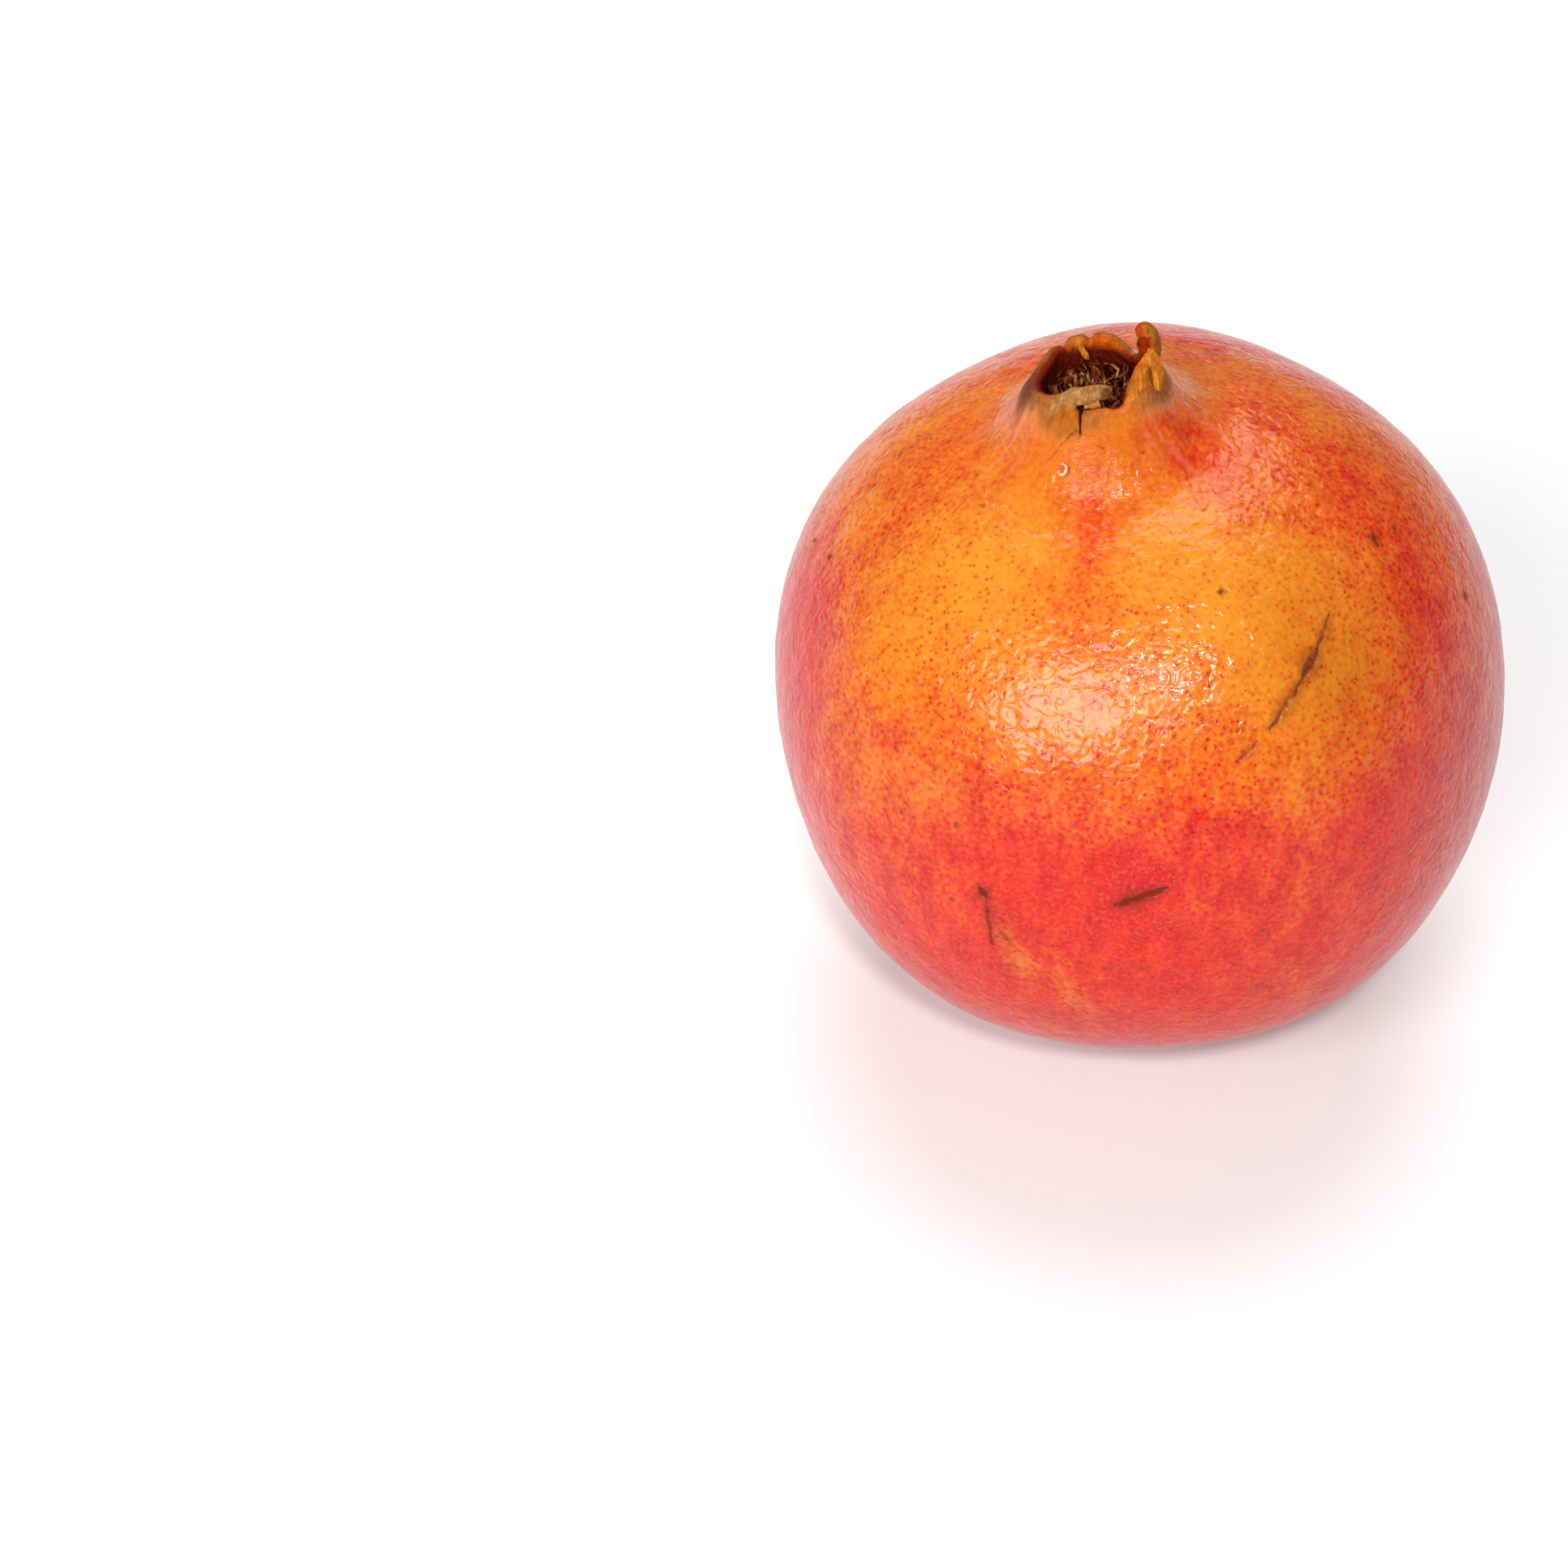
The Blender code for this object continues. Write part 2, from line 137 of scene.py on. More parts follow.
# %% How it grew
def turned_away(points):
    """The stem end turns away from the axis, against the fruit's lean."""
    below = smooth(0.0, BODY_HALF_HEIGHT, -points[:, 2]) * math.radians(STEM_OFF_AXIS)
    axis = np.array(STEM_HINGE)
    across = np.cross(axis, points)
    along = (points @ axis)[:, None] * axis
    return along + (points - along) * np.cos(below)[:, None] + across * np.sin(below)[:, None]


def grown(points):
    """Moves points of the turned shape to where they grew."""
    x, y, z = points.T
    from_axis = np.hypot(x, y)
    azimuth = np.degrees(np.arctan2(y, x)) % 360.0
    length = np.maximum(np.linalg.norm(points, axis=1), 0.001)
    share = from_axis / length
    swell = sum(depth * np.cos(np.radians(count * azimuth + turn)) for count, depth, turn in BODY_LOBES)
    along = smooth(0.16, 0.4, share) * smooth(-0.1, 0.45, z / length)
    ridge = RIDGE_HEIGHT / BODY_RADIUS * np.exp(-(((azimuth - RIDGE_AZIMUTH) / RIDGE_WIDTH) ** 2))
    size = 1.0 + share**2 * swell + ridge * along
    radius, height = from_axis * size, z * size

    crown = (share < CROWN_SHARE) & (z > 0.0)
    near = crown * smooth(RIM_HEIGHT - CROWN_BEND_DEPTH, RIM_HEIGHT, z) ** 1.5
    for centre, before, after, rise, lean in RIM_LOBES:
        here = near * bump(azimuth, centre, before, after)
        height = height + rise * here
        radius = radius - lean * here
    torn = np.random.default_rng(BITE_SEED).random(BITES) ** 1.5
    bitten = np.interp(azimuth, np.linspace(0.0, 360.0, BITES + 1), [*torn, torn[0]])
    tearing = 1.0 - CALM_SHARE * bump(azimuth, CALM_AZIMUTH, 60, 60)
    height = height - near**3 * BITE_DEPTH * bitten * tearing
    rolled = bump(azimuth, LIP_AZIMUTH, 34, 30) * smooth(RIM_HEIGHT - 2.6, RIM_HEIGHT - 1.0, z)
    inner_face = smooth(RIM_RADIUS - 0.4, RIM_RADIUS - 1.2, from_axis)
    radius = radius - LIP_SWELL * rolled * crown * inner_face
    angle = np.radians(azimuth)
    return turned_away(np.stack([radius * np.cos(angle), radius * np.sin(angle), height], 1))


# %% [markdown]
# ## Turning the outline
# Everything round starts as an outline of (radius, height) points and a Screw modifier, which is how a
# wood turner would think of it. The outline runs from the stem end up the body and the neck, over the
# rounded rim and down into the cup. Rings lie close together at the crown, where the shape is fine.

# %% Helpers for meshes
WELD = 0.000001  # metres between points that count as one


def added(name, data):
    """An object of this mesh, curve, lamp or camera, in the scene."""
    made = bpy.data.objects.new(name, data)
    bpy.context.scene.collection.objects.link(made)
    return made


def shaped(name, shape):
    """An object of this edited shape, which is then let go."""
    mesh = bpy.data.meshes.new(name)
    shape.to_mesh(mesh)
    shape.free()
    return added(name, mesh)


def applied(source, weld=False):
    """Replaces an object by the mesh that its curve or its modifiers make."""
    graph = bpy.context.evaluated_depsgraph_get()
    graph.update()
    mesh = bpy.data.meshes.new_from_object(source.evaluated_get(graph))
    mesh.transform(source.matrix_world)
    if weld:
        shape = bmesh.new()
        shape.from_mesh(mesh)
        bmesh.ops.remove_doubles(shape, verts=shape.verts, dist=WELD)
        shape.to_mesh(mesh)
        shape.free()
    name = source.name
    bpy.data.objects.remove(source)
    return added(name, mesh)


def numbers(rows, attribute, width=1, kind=np.float32):
    """One attribute of all of a mesh's points, edges or faces, as an array with a row for each."""
    flat = np.empty(len(rows) * width, kind)
    rows.foreach_get(attribute, flat)
    return flat.reshape(-1, width) if width > 1 else flat


def points_of(mesh):
    """A mesh's points in millimetres, as rows of an array."""
    return numbers(mesh.vertices, "co", 3).astype(float) / MM


def set_points(mesh, points):
    """Puts a mesh's points at these places, given in millimetres."""
    mesh.vertices.foreach_set("co", (points * MM).astype(np.float32).ravel())
    mesh.update()


# %% Turn the fruit
COLUMNS = 384
BODY_RINGS, NECK_RINGS, RIM_RINGS, CUP_RINGS = 84, 46, 8, 26
BED_START, BODY_START = 0.4, 7.0  # the bed's first ring in mm, the body's first ring in degrees
DIMPLE_EDGE, FLOOR_FILLET = (1.3, 0.82), 1.4  # how far the dimple's edge and the cup's floor are rounded
RIM_DROP, RIM_ROUNDING = 0.1, 0.45


def turned(name, outline, columns):
    """A solid turned about Z, from an outline of (radius, height) that starts at the bottom."""
    mesh = bpy.data.meshes.new(name)
    lines = [(i, i + 1) for i in range(len(outline) - 1)]
    mesh.from_pydata([(r * MM, 0.0, z * MM) for r, z in reversed(outline)], lines, [])
    made = added(name, mesh)
    screw = made.modifiers.new("turn", "SCREW")
    screw.steps = screw.render_steps = columns
    screw.use_merge_vertices = True
    screw.merge_threshold = WELD
    return applied(made, weld=True)


def arc(centre, size, start, stop, steps):
    """Points along an arc, with the angles in degrees and size as (across, up)."""
    angles = np.radians(np.linspace(start, stop, steps))
    return list(zip(centre[0] + size[0] * np.cos(angles), centre[1] + size[1] * np.sin(angles)))


def fruit_outline():
    """Out from the stem end, up the body and the neck, over the rim and down into the cup."""
    bed = STEM_END + DIMPLE_DEPTH
    points = [(0.0, bed)] + [(r, bed) for r in np.linspace(BED_START, DIMPLE_RADIUS - 0.6, 7)]
    points += arc((DIMPLE_RADIUS + 1.1, STEM_END + 0.9), DIMPLE_EDGE, 170.0, 268.0, 9)
    first, last = math.radians(BODY_START), math.pi - math.asin(NECK_SPREAD / BODY_RADIUS)
    points += list(zip(*body_point(np.linspace(first, last, BODY_RINGS, endpoint=False))))
    for share in np.linspace(0.0, 1.0, NECK_RINGS):
        radius = NECK_SPREAD + (RIM_RADIUS - NECK_SPREAD) * (1.0 - (1.0 - share) ** 1.6)
        points.append((radius, float(neck_height(radius))))
    inner, top = RIM_RADIUS - WALL, RIM_HEIGHT - RIM_DROP
    points += arc((RIM_RADIUS - 0.5 * WALL, top), (0.5 * WALL, RIM_ROUNDING), 20.0, 175.0, RIM_RINGS)
    foot = CUP_FLOOR + FLOOR_FILLET
    for share in np.linspace(0.06, 1.0, CUP_RINGS):
        widened = inner + (CUP_RADIUS - inner) * math.sin(0.5 * math.pi * share)
        points.append((widened, top + (foot - top) * share))
    points += arc((CUP_RADIUS - FLOOR_FILLET, foot), (FLOOR_FILLET, FLOOR_FILLET), -15.0, -90.0, 6)
    return points + [(r, CUP_FLOOR) for r in (4.0, 2.6, 1.3, 0.0)]


rind = turned("rind", fruit_outline(), COLUMNS)
print("rind:", len(rind.data.polygons), "faces")

# %% [markdown]
# ## Sepals
# The crown is the dried calyx of the flower. Most of its sepals have broken back to lobes of the edge,
# which the formula above gives. The others stand out of it: a tall one folded lengthwise with its tip
# hooked inward, a short one folded double with a flap hanging outside, a strip that has torn loose and
# lies across the mouth, a thin tongue at the back and a scrap of inner lining. Each is a blade: a flat
# grid bent along stations (a point of the middle line, half the width, how far the edges curl in) and
# thickened by Solidify. A curve with a bevel is easier to make, but its edges can't curl.

# %% Stations
def polar(azimuth, radius, height):
    """A point from its azimuth, its distance from the axis and its height."""
    angle = math.radians(azimuth)
    return Vector((radius * math.cos(angle), radius * math.sin(angle), height))


def station(azimuth, radius, height, facing, half_width, curl):
    """A station with its width along the rim. The height counts from the rim, and facing is an azimuth."""
    return polar(azimuth, radius, height), polar(facing + 90.0, half_width, 0.0), curl


THICKNESSES = {"tall": 0.9, "folded": 0.9, "flap": 0.8, "strip": 1.0, "tongue": 0.5, "lining": 0.6}
STATIONS = {
    "tall": (
        station(8, 7.0, -3.2, 8, 3.0, 0.6),
        station(7, 7.2, -0.8, 8, 3.0, 1.0),
        station(4, 7.7, 1.2, 10, 2.8, 1.5),
        station(1, 8.0, 3.0, 10, 2.3, 1.5),
        station(-1, 8.0, 4.6, 5, 1.6, 0.9),
        station(-2, 7.6, 5.6, 5, 1.3, 0.4),
        station(-3, 6.7, 5.9, 5, 1.1, 0.2),
        station(-3, 6.0, 5.3, 5, 0.8, 0.1),
    ),
    "folded": (
        station(323, 7.0, -3.2, 323, 3.2, 0.5),
        station(323, 7.2, -0.9, 323, 3.1, 0.9),
        station(326, 7.4, 1.1, 324, 2.5, 1.1),
        station(330, 7.6, 3.0, 326, 1.8, 0.9),
        station(333, 7.8, 4.3, 328, 1.2, 0.4),
        station(333, 7.8, 4.8, 328, 0.9, 0.1),
    ),
    "flap": (
        station(333, 7.5, 4.4, 328, 0.9, 0.0),
        station(332, 8.2, 4.2, 328, 1.0, 0.0),
        station(331, 8.8, 3.4, 328, 0.9, 0.0),
        station(329, 9.0, 2.0, 328, 0.8, 0.0),
        station(327, 9.1, 0.4, 328, 0.5, 0.0),
    ),
    "strip": (
        (Vector((-5.1, -4.7, -0.5)), Vector((0.4, 0.5, 0.5)), 0.0),
        (Vector((-4.3, -4.8, 0.2)), Vector((0.3, 0.6, 0.5)), 0.0),
        (Vector((-3.4, -5.0, 0.8)), Vector((0.2, 0.7, 0.5)), 0.1),
        (Vector((-2.3, -5.4, 1.2)), Vector((0.1, 0.95, 0.6)), 0.1),
        (Vector((-0.9, -5.5, 1.3)), Vector((0.05, 0.95, 0.55)), 0.1),
        (Vector((0.5, -5.2, 1.2)), Vector((0.0, 0.8, 0.45)), 0.1),
        (Vector((1.6, -5.0, 1.05)), Vector((0.0, 0.7, 0.4)), 0.1),
        (Vector((2.1, -4.9, 1.0)), Vector((0.0, 0.45, 0.3)), 0.1),
    ),
    "tongue": (
        station(106, 6.9, 0.1, 103, 0.35, 0.0),
        station(103, 6.4, -0.2, 101, 0.35, 0.1),
        station(100, 6.1, -0.9, 98, 0.32, 0.1),
        station(97, 5.9, -1.7, 95, 0.28, 0.1),
        station(95, 5.9, -2.4, 93, 0.2, 0.0),
    ),
    "lining": (
        station(266, 6.5, -2.6, 268, 1.2, 0.0),
        station(266, 6.2, -1.0, 268, 1.2, 0.0),
        station(265, 6.0, 0.3, 268, 1.1, 0.1),
        station(264, 5.7, 1.0, 268, 0.8, 0.1),
    ),
}

# %% Bend the blades
BLADE_STEPS, BLADE_COLUMNS = 40, 14
BLADE_UNEVEN, BLADE_SEED = 0.1, 4  # how far a dried blade strays from its stations, and which way
TIP_START, TIP_REACH = 0.9, 0.14  # where its tip starts to round off, and over what share of it


def blended(values, share):
    """A smooth value along a row of numbers or vectors, with share from 0 to 1."""
    place = share * (len(values) - 1)
    i = min(int(place), len(values) - 2)
    t = place - i
    before, a, b = values[max(i - 1, 0)], values[i], values[i + 1]
    after = values[min(i + 2, len(values) - 1)]
    curve = 2.0 * a + (b - before) * t
    curve = curve + (2.0 * before - 5.0 * a + 4.0 * b - after) * t**2
    return 0.5 * (curve + (3.0 * a - before - 3.0 * b + after) * t**3)


def blade(name, thickness, stations):
    """A curled blade with its own finish slot, so that its faces can be told from the rind's later."""
    points, widths, curls = zip(*stations)
    shape = bmesh.new()
    bmesh.ops.create_grid(shape, x_segments=BLADE_COLUMNS, y_segments=BLADE_STEPS, size=1.0)
    for vertex in shape.verts:
        side, along = vertex.co.x, 0.5 + 0.5 * vertex.co.y
        onward = blended(points, min(along + 0.02, 1.0)) - blended(points, max(along - 0.02, 0.0))
        width = blended(widths, along)
        inward = onward.cross(width).normalized()
        rounding = math.sqrt(max(1.0 - max((along - TIP_START) / TIP_REACH, 0.0) ** 2, 0.0))
        place = blended(points, along) + width * side * rounding + inward * blended(curls, along) * side**2
        place += BLADE_UNEVEN * noise.noise_vector(place * 0.9)
        vertex.co = (place + Vector((0.0, 0.0, RIM_HEIGHT))) * MM
    made = shaped(name, shape)
    wall = made.modifiers.new("thickness", "SOLIDIFY")
    wall.thickness = thickness * MM
    wall.offset = 0.0
    rounded = made.modifiers.new("rounded", "SUBSURF")
    rounded.levels = rounded.render_levels = 1
    made = applied(made)
    made.data.materials.append(bpy.data.materials.new(name))
    return made


noise.seed_set(BLADE_SEED)  # or vector noise takes its seed from the clock, and each run differs
blades = [blade(name, THICKNESSES[name], stations) for name, stations in STATIONS.items()]
print("blades:", {piece.name: len(piece.data.polygons) for piece in blades})

# %% [markdown]
# ## One skin
# Sepals left as separate pieces would show a seam where they enter the wall. A Boolean union makes
# one skin of them all, a wedge opens the split at the front, and then the points round each join are
# smoothed, because on the fruit a sepal grows out of the wall and has no line at its root.
# Before the union the faces get finish slots by name, so that what is rind, cup or sepal stays known.

# %% Zones and the wedge
SPLIT = (255.0, 0.5, 0.06, 2.7)  # azimuth, width at the edge, width at its foot, length
SPLIT_REACH, SPLIT_ABOVE, SPLIT_TILT = 1.7, 0.7, -20.0


def named_zones(piece):
    """Slots for the rind's outside and for the cup, by where a face lies in the turned shape."""
    piece.data.materials.append(bpy.data.materials.new("outside"))
    piece.data.materials.append(bpy.data.materials.new("cup"))
    x, y, z = numbers(piece.data.polygons, "center", 3).astype(float).T / MM
    inside = (np.hypot(x, y) < RIM_RADIUS - 0.6 * WALL) & (z > CUP_FLOOR - 0.5)
    piece.data.polygons.foreach_set("material_index", inside.astype(np.int32))


def split_wedge():
    """The cutter for the split in the tube's edge."""
    azimuth, width, foot_width, length = SPLIT
    shape = bmesh.new()
    bmesh.ops.create_cube(shape, size=1.0)
    for vertex in shape.verts:
        top = vertex.co.z > 0.0
        vertex.co.x *= 2.0 * SPLIT_REACH * MM
        vertex.co.y *= (width if top else foot_width) * MM
        vertex.co.z = (SPLIT_ABOVE if top else -length) * MM
    place = Matrix.Translation(polar(azimuth, RIM_RADIUS - 0.2, RIM_HEIGHT) * MM)
    place @= Matrix.Rotation(math.radians(azimuth), 4, "Z")
    place @= Matrix.Rotation(math.radians(SPLIT_TILT), 4, "Y")
    bmesh.ops.transform(shape, verts=shape.verts, matrix=place)
    made = shaped("split", shape)
    made.data.materials.append(bpy.data.materials["cup"])
    return made


# %% Join and soften
SOFT_RINGS, SOFT_PASSES = 5, 14


def combined(target, others, operation):
    """One Boolean of the target with all the others, which are then removed."""
    group = bpy.data.collections.new("operands")
    bpy.context.scene.collection.children.link(group)
    for other in others:
        bpy.context.scene.collection.objects.unlink(other)
        group.objects.link(other)
    step = target.modifiers.new("combine", "BOOLEAN")
    step.operation = operation
    step.operand_type = "COLLECTION"
    step.collection = group
    step.solver = "MANIFOLD"
    step.material_mode = "TRANSFER"
    whole = applied(target)
    for other in others:
        bpy.data.objects.remove(other)
    bpy.data.collections.remove(group)
    return whole


def soften_joins(piece):
    """Smooths the points near every edge where a sepal's faces meet other ones, and counts them."""
    shape = bmesh.new()
    shape.from_mesh(piece.data)
    ring = set()
    for edge in shape.edges:
        slots = {face.material_index for face in edge.link_faces}
        if len(slots) > 1 and max(slots) > 1:
            ring.update(edge.verts)
    near = set(ring)
    for _ in range(SOFT_RINGS):
        ring = {edge.other_vert(v) for v in ring for edge in v.link_edges} - near
        near |= ring
    softened = list(near)
    for _ in range(SOFT_PASSES):
        bmesh.ops.smooth_vert(
            shape, verts=softened, factor=0.5, use_axis_x=True, use_axis_y=True, use_axis_z=True
        )
    shape.to_mesh(piece.data)
    shape.free()
    return len(near)


named_zones(rind)
set_points(rind.data, grown(points_of(rind.data)))
rind = combined(rind, blades, "UNION")
rind = combined(rind, [split_wedge()], "DIFFERENCE")
print("joined:", len(rind.data.polygons), "faces,", soften_joins(rind), "points softened")

# %% [markdown]
# ## Relief of the rind
# Real rind is never as smooth as a turned shape. It has shallow dimples a few millimetres wide all over,
# and round the neck the drying calyx has drawn it into fine furrows that run down from the crown. Both
# follow a rule, so Geometry Nodes raise them: one noise for the dimples, and for the furrows a noise read
# by direction from the axis alone, which keeps each furrow on its own azimuth. Where each one acts is
# painted on the points first, as an attribute that the tree reads by name.

# %% Where the relief acts
def painted(mesh, name, values):
    """Stores one number, or one colour, for each point of a mesh."""
    colour = values.ndim == 2
    layer = mesh.attributes.new(name, "FLOAT_COLOR" if colour else "FLOAT", "POINT")
    if colour:
        values = np.concatenate([values, np.ones((len(values), 1))], 1)
    layer.data.foreach_set("color" if colour else "value", values.astype(np.float32).ravel())


def directions(points):
    """Each point's angle from the stem end and azimuth, in degrees, and its distance from the axis."""
    radius = np.hypot(points[:, 0], points[:, 1])
    polar_angle = np.degrees(np.arctan2(radius, -points[:, 2]))
    return polar_angle, np.degrees(np.arctan2(points[:, 1], points[:, 0])) % 360, radius


own = points_of(rind.data)
_, azimuth, radius = directions(own)
upper = own[:, 2] > 0.0
neck = smooth(19.0, 9.0, radius) * upper
sides_of_neck = np.maximum(bump(azimuth, 180, 60, 45), bump(azimuth, 325, 45, 70))
tube = smooth(RIM_HEIGHT - 7.0, RIM_HEIGHT - 1.0, own[:, 2])
furrowed = neck * (0.25 + 0.75 * sides_of_neck) * (1.0 - 0.8 * tube) * (own[:, 2] > RIM_HEIGHT - 13.0)
painted(rind.data, "dimpled", 1.0 - 0.8 * neck)
painted(rind.data, "furrowed", furrowed)
print("furrows on", int((furrowed > 0.1).sum()), "of", len(own), "points")


# %% Helpers for node trees
def feed(tree, target, inputs):
    """Gives each of these inputs of a node its value, or a link."""
    for name, value in inputs.items():
        if isinstance(value, bpy.types.NodeSocket):
            tree.links.new(value, target.inputs[name])
        else:
            target.inputs[name].default_value = value


def node(tree, kind, inputs=None, **settings):
    """A new node with these settings, and a value or a link for each input named here."""
    made = tree.nodes.new(kind)
    for name, value in settings.items():
        setattr(made, name, value)
    feed(tree, made, inputs or {})
    return made


def maths(tree, operation, *values, clamp=False):
    """The result of one sum on numbers or sockets."""
    inputs = dict(enumerate(values))
    return node(tree, "ShaderNodeMath", inputs, operation=operation, use_clamp=clamp).outputs[0]


def product(tree, first, *others):
    """Numbers or sockets multiplied in turn."""
    for other in others:
        first = maths(tree, "MULTIPLY", first, other)
    return first


# %% Helpers for vectors and textures
def vectors(tree, operation, *values):
    """The result of one sum on vectors."""
    made = node(tree, "ShaderNodeVectorMath", dict(enumerate(values)), operation=operation)
    return made.outputs["Value" if operation in ("LENGTH", "DOT_PRODUCT") else "Vector"]


def scaled(tree, vector, factor):
    """A vector, or a colour, times a number."""
    return node(tree, "ShaderNodeVectorMath", {0: vector, "Scale": factor}, operation="SCALE").outputs[0]


def xyz(tree, x=0.0, y=0.0, z=0.0):
    """A vector from three numbers or sockets."""
    return node(tree, "ShaderNodeCombineXYZ", {0: x, 1: y, 2: z}).outputs[0]


def split_xyz(tree, vector):
    """A vector's three parts."""
    return node(tree, "ShaderNodeSeparateXYZ", {0: vector}).outputs


def noisy(tree, where, scale, detail=2.0, roughness=0.5, distortion=0.0, result=0):
    """Noise of this many features a metre, from 0 to 1 and 0.5 on average, or its colour as result 1."""
    inputs = {"Vector": where, "Scale": scale, "Detail": detail, "Roughness": roughness}
    inputs["Distortion"] = distortion
    return node(tree, "ShaderNodeTexNoise", inputs).outputs[result]


def within(tree, value, low, high, start=0.0, stop=1.0):
    """Maps low..high to start..stop along a smooth curve, and holds both ends."""
    inputs = {"Value": value, "From Min": low, "From Max": high, "To Min": start, "To Max": stop}
    return node(tree, "ShaderNodeMapRange", inputs, interpolation_type="SMOOTHSTEP").outputs["Result"]


# %% Helpers for Geometry Nodes
def new_tree(name, sizes):
    """A Geometry Nodes tree with a named input for each size, and its input and output nodes."""
    tree = bpy.data.node_groups.new(name, "GeometryNodeTree")
    tree.interface.new_socket("Geometry", in_out="INPUT", socket_type="NodeSocketGeometry")
    for label, value in sizes.items():
        kind = {float: "NodeSocketFloat", int: "NodeSocketInt"}.get(type(value), "NodeSocketMaterial")
        tree.interface.new_socket(label, in_out="INPUT", socket_type=kind)
    tree.interface.new_socket("Geometry", in_out="OUTPUT", socket_type="NodeSocketGeometry")
    return tree, tree.nodes.new("NodeGroupInput").outputs, tree.nodes.new("NodeGroupOutput")


def closed_off(tree, geometry, finish, result):
    """The end of a tree: its copies are made real and take the finish."""
    real = node(tree, "GeometryNodeRealizeInstances", {0: geometry}).outputs[0]
    finished = node(tree, "GeometryNodeSetMaterial", {"Geometry": real, "Material": finish}).outputs[0]
    feed(tree, result, {0: finished})


def grow(piece, tree, sizes):
    """Puts the tree on a piece with these sizes, and keeps the plain mesh that it makes."""
    step = piece.modifiers.new(tree.name, "NODES")
    step.node_group = tree
    for socket in tree.interface.items_tree:
        if socket.in_out == "INPUT" and socket.name in sizes:
            step[socket.identifier] = sizes[socket.name]
    return applied(piece)


def one_finish(piece, finish):
    """Leaves a piece with this finish alone, in its only slot."""
    piece.data.materials.clear()
    piece.data.materials.append(finish)
    piece.data.polygons.foreach_set("material_index", np.zeros(len(piece.data.polygons), np.int32))


# %% Raise the relief
def relief_tree(sizes):
    """Moves points along their normals by two noises."""
    tree, given, result = new_tree("rind_relief", sizes)
    where = node(tree, "GeometryNodeInputPosition").outputs[0]

    def layer(name):
        return node(tree, "GeometryNodeInputNamedAttribute", {"Name": name}, data_type="FLOAT").outputs[0]

    density = maths(tree, "DIVIDE", 1.0, given["Dimple Width"])
    dimples = maths(tree, "SUBTRACT", noisy(tree, where, density, detail=1.0), 0.5)
    dimples = product(tree, given["Dimple Depth"], layer("dimpled"), dimples)
    x, y, z = split_xyz(tree, where)
    outward = split_xyz(tree, vectors(tree, "NORMALIZE", xyz(tree, x, y)))
    by_azimuth = xyz(tree, outward[0], outward[1], maths(tree, "MULTIPLY", z, given["Furrow Drift"]))
    furrows = maths(tree, "SUBTRACT", noisy(tree, by_azimuth, given["Furrows"]), 0.5)
    furrows = product(tree, given["Furrow Depth"], layer("furrowed"), furrows)
    normal = node(tree, "GeometryNodeInputNormal").outputs[0]
    offset = scaled(tree, normal, maths(tree, "ADD", dimples, furrows))
    moved = node(tree, "GeometryNodeSetPosition", {"Geometry": given["Geometry"], "Offset": offset})
    closed_off(tree, moved.outputs[0], given["Finish"], result)
    return tree


rind_finish = bpy.data.materials.new("rind_skin")
relief = {
    "Dimple Width": 0.0045,
    "Dimple Depth": 0.00030,
    "Furrows": 9.0,  # features round a circle of radius 1
    "Furrow Drift": 25.0,  # how fast a furrow changes with height, a metre
    "Furrow Depth": 0.00075,
    "Finish": rind_finish,
}
zones = numbers(rind.data.polygons, "material_index", kind=np.int32)
zone_names = [slot.name for slot in rind.data.materials]
rind = grow(rind, relief_tree(relief), relief)
one_finish(rind, rind_finish)
for name in zone_names:
    bpy.data.materials.remove(bpy.data.materials[name])
print("zones:", dict(zip(zone_names, np.bincount(zones).tolist())))

# %% [markdown]
# ## Colour that belongs to a place
# A ripening pomegranate starts yellow and blushes red where the sun reaches it, most of all low on its
# cheeks. So the fruit carries three layers that a finish can read: the ground colour under the blush, how
# far the blush has come, and how dry the tissue is. Each is a smooth field over the fruit, made of a few
# soft patches (angle from the stem end, azimuth, their two spreads, and a strength). A painted image would
# turn coarse close up, but the finish breaks these patches up into speckles, so they can stay broad.

# %% Colours of the skin
SHADE = 0.60  # the share of its colour in full light that the fruit sends back


def tint(code):
    """What the fruit reflects to show this six-digit screen colour in full light."""
    shares = np.array([int(code[i : i + 2], 16) for i in (1, 3, 5)]) / 255.0
    return SHADE * np.where(shares > 0.04045, ((shares + 0.055) / 1.055) ** 2.4, shares / 12.92)


AMBER, OCHRE, NECK_AMBER = tint("#ffa028"), tint("#e08a18"), tint("#f07a14")

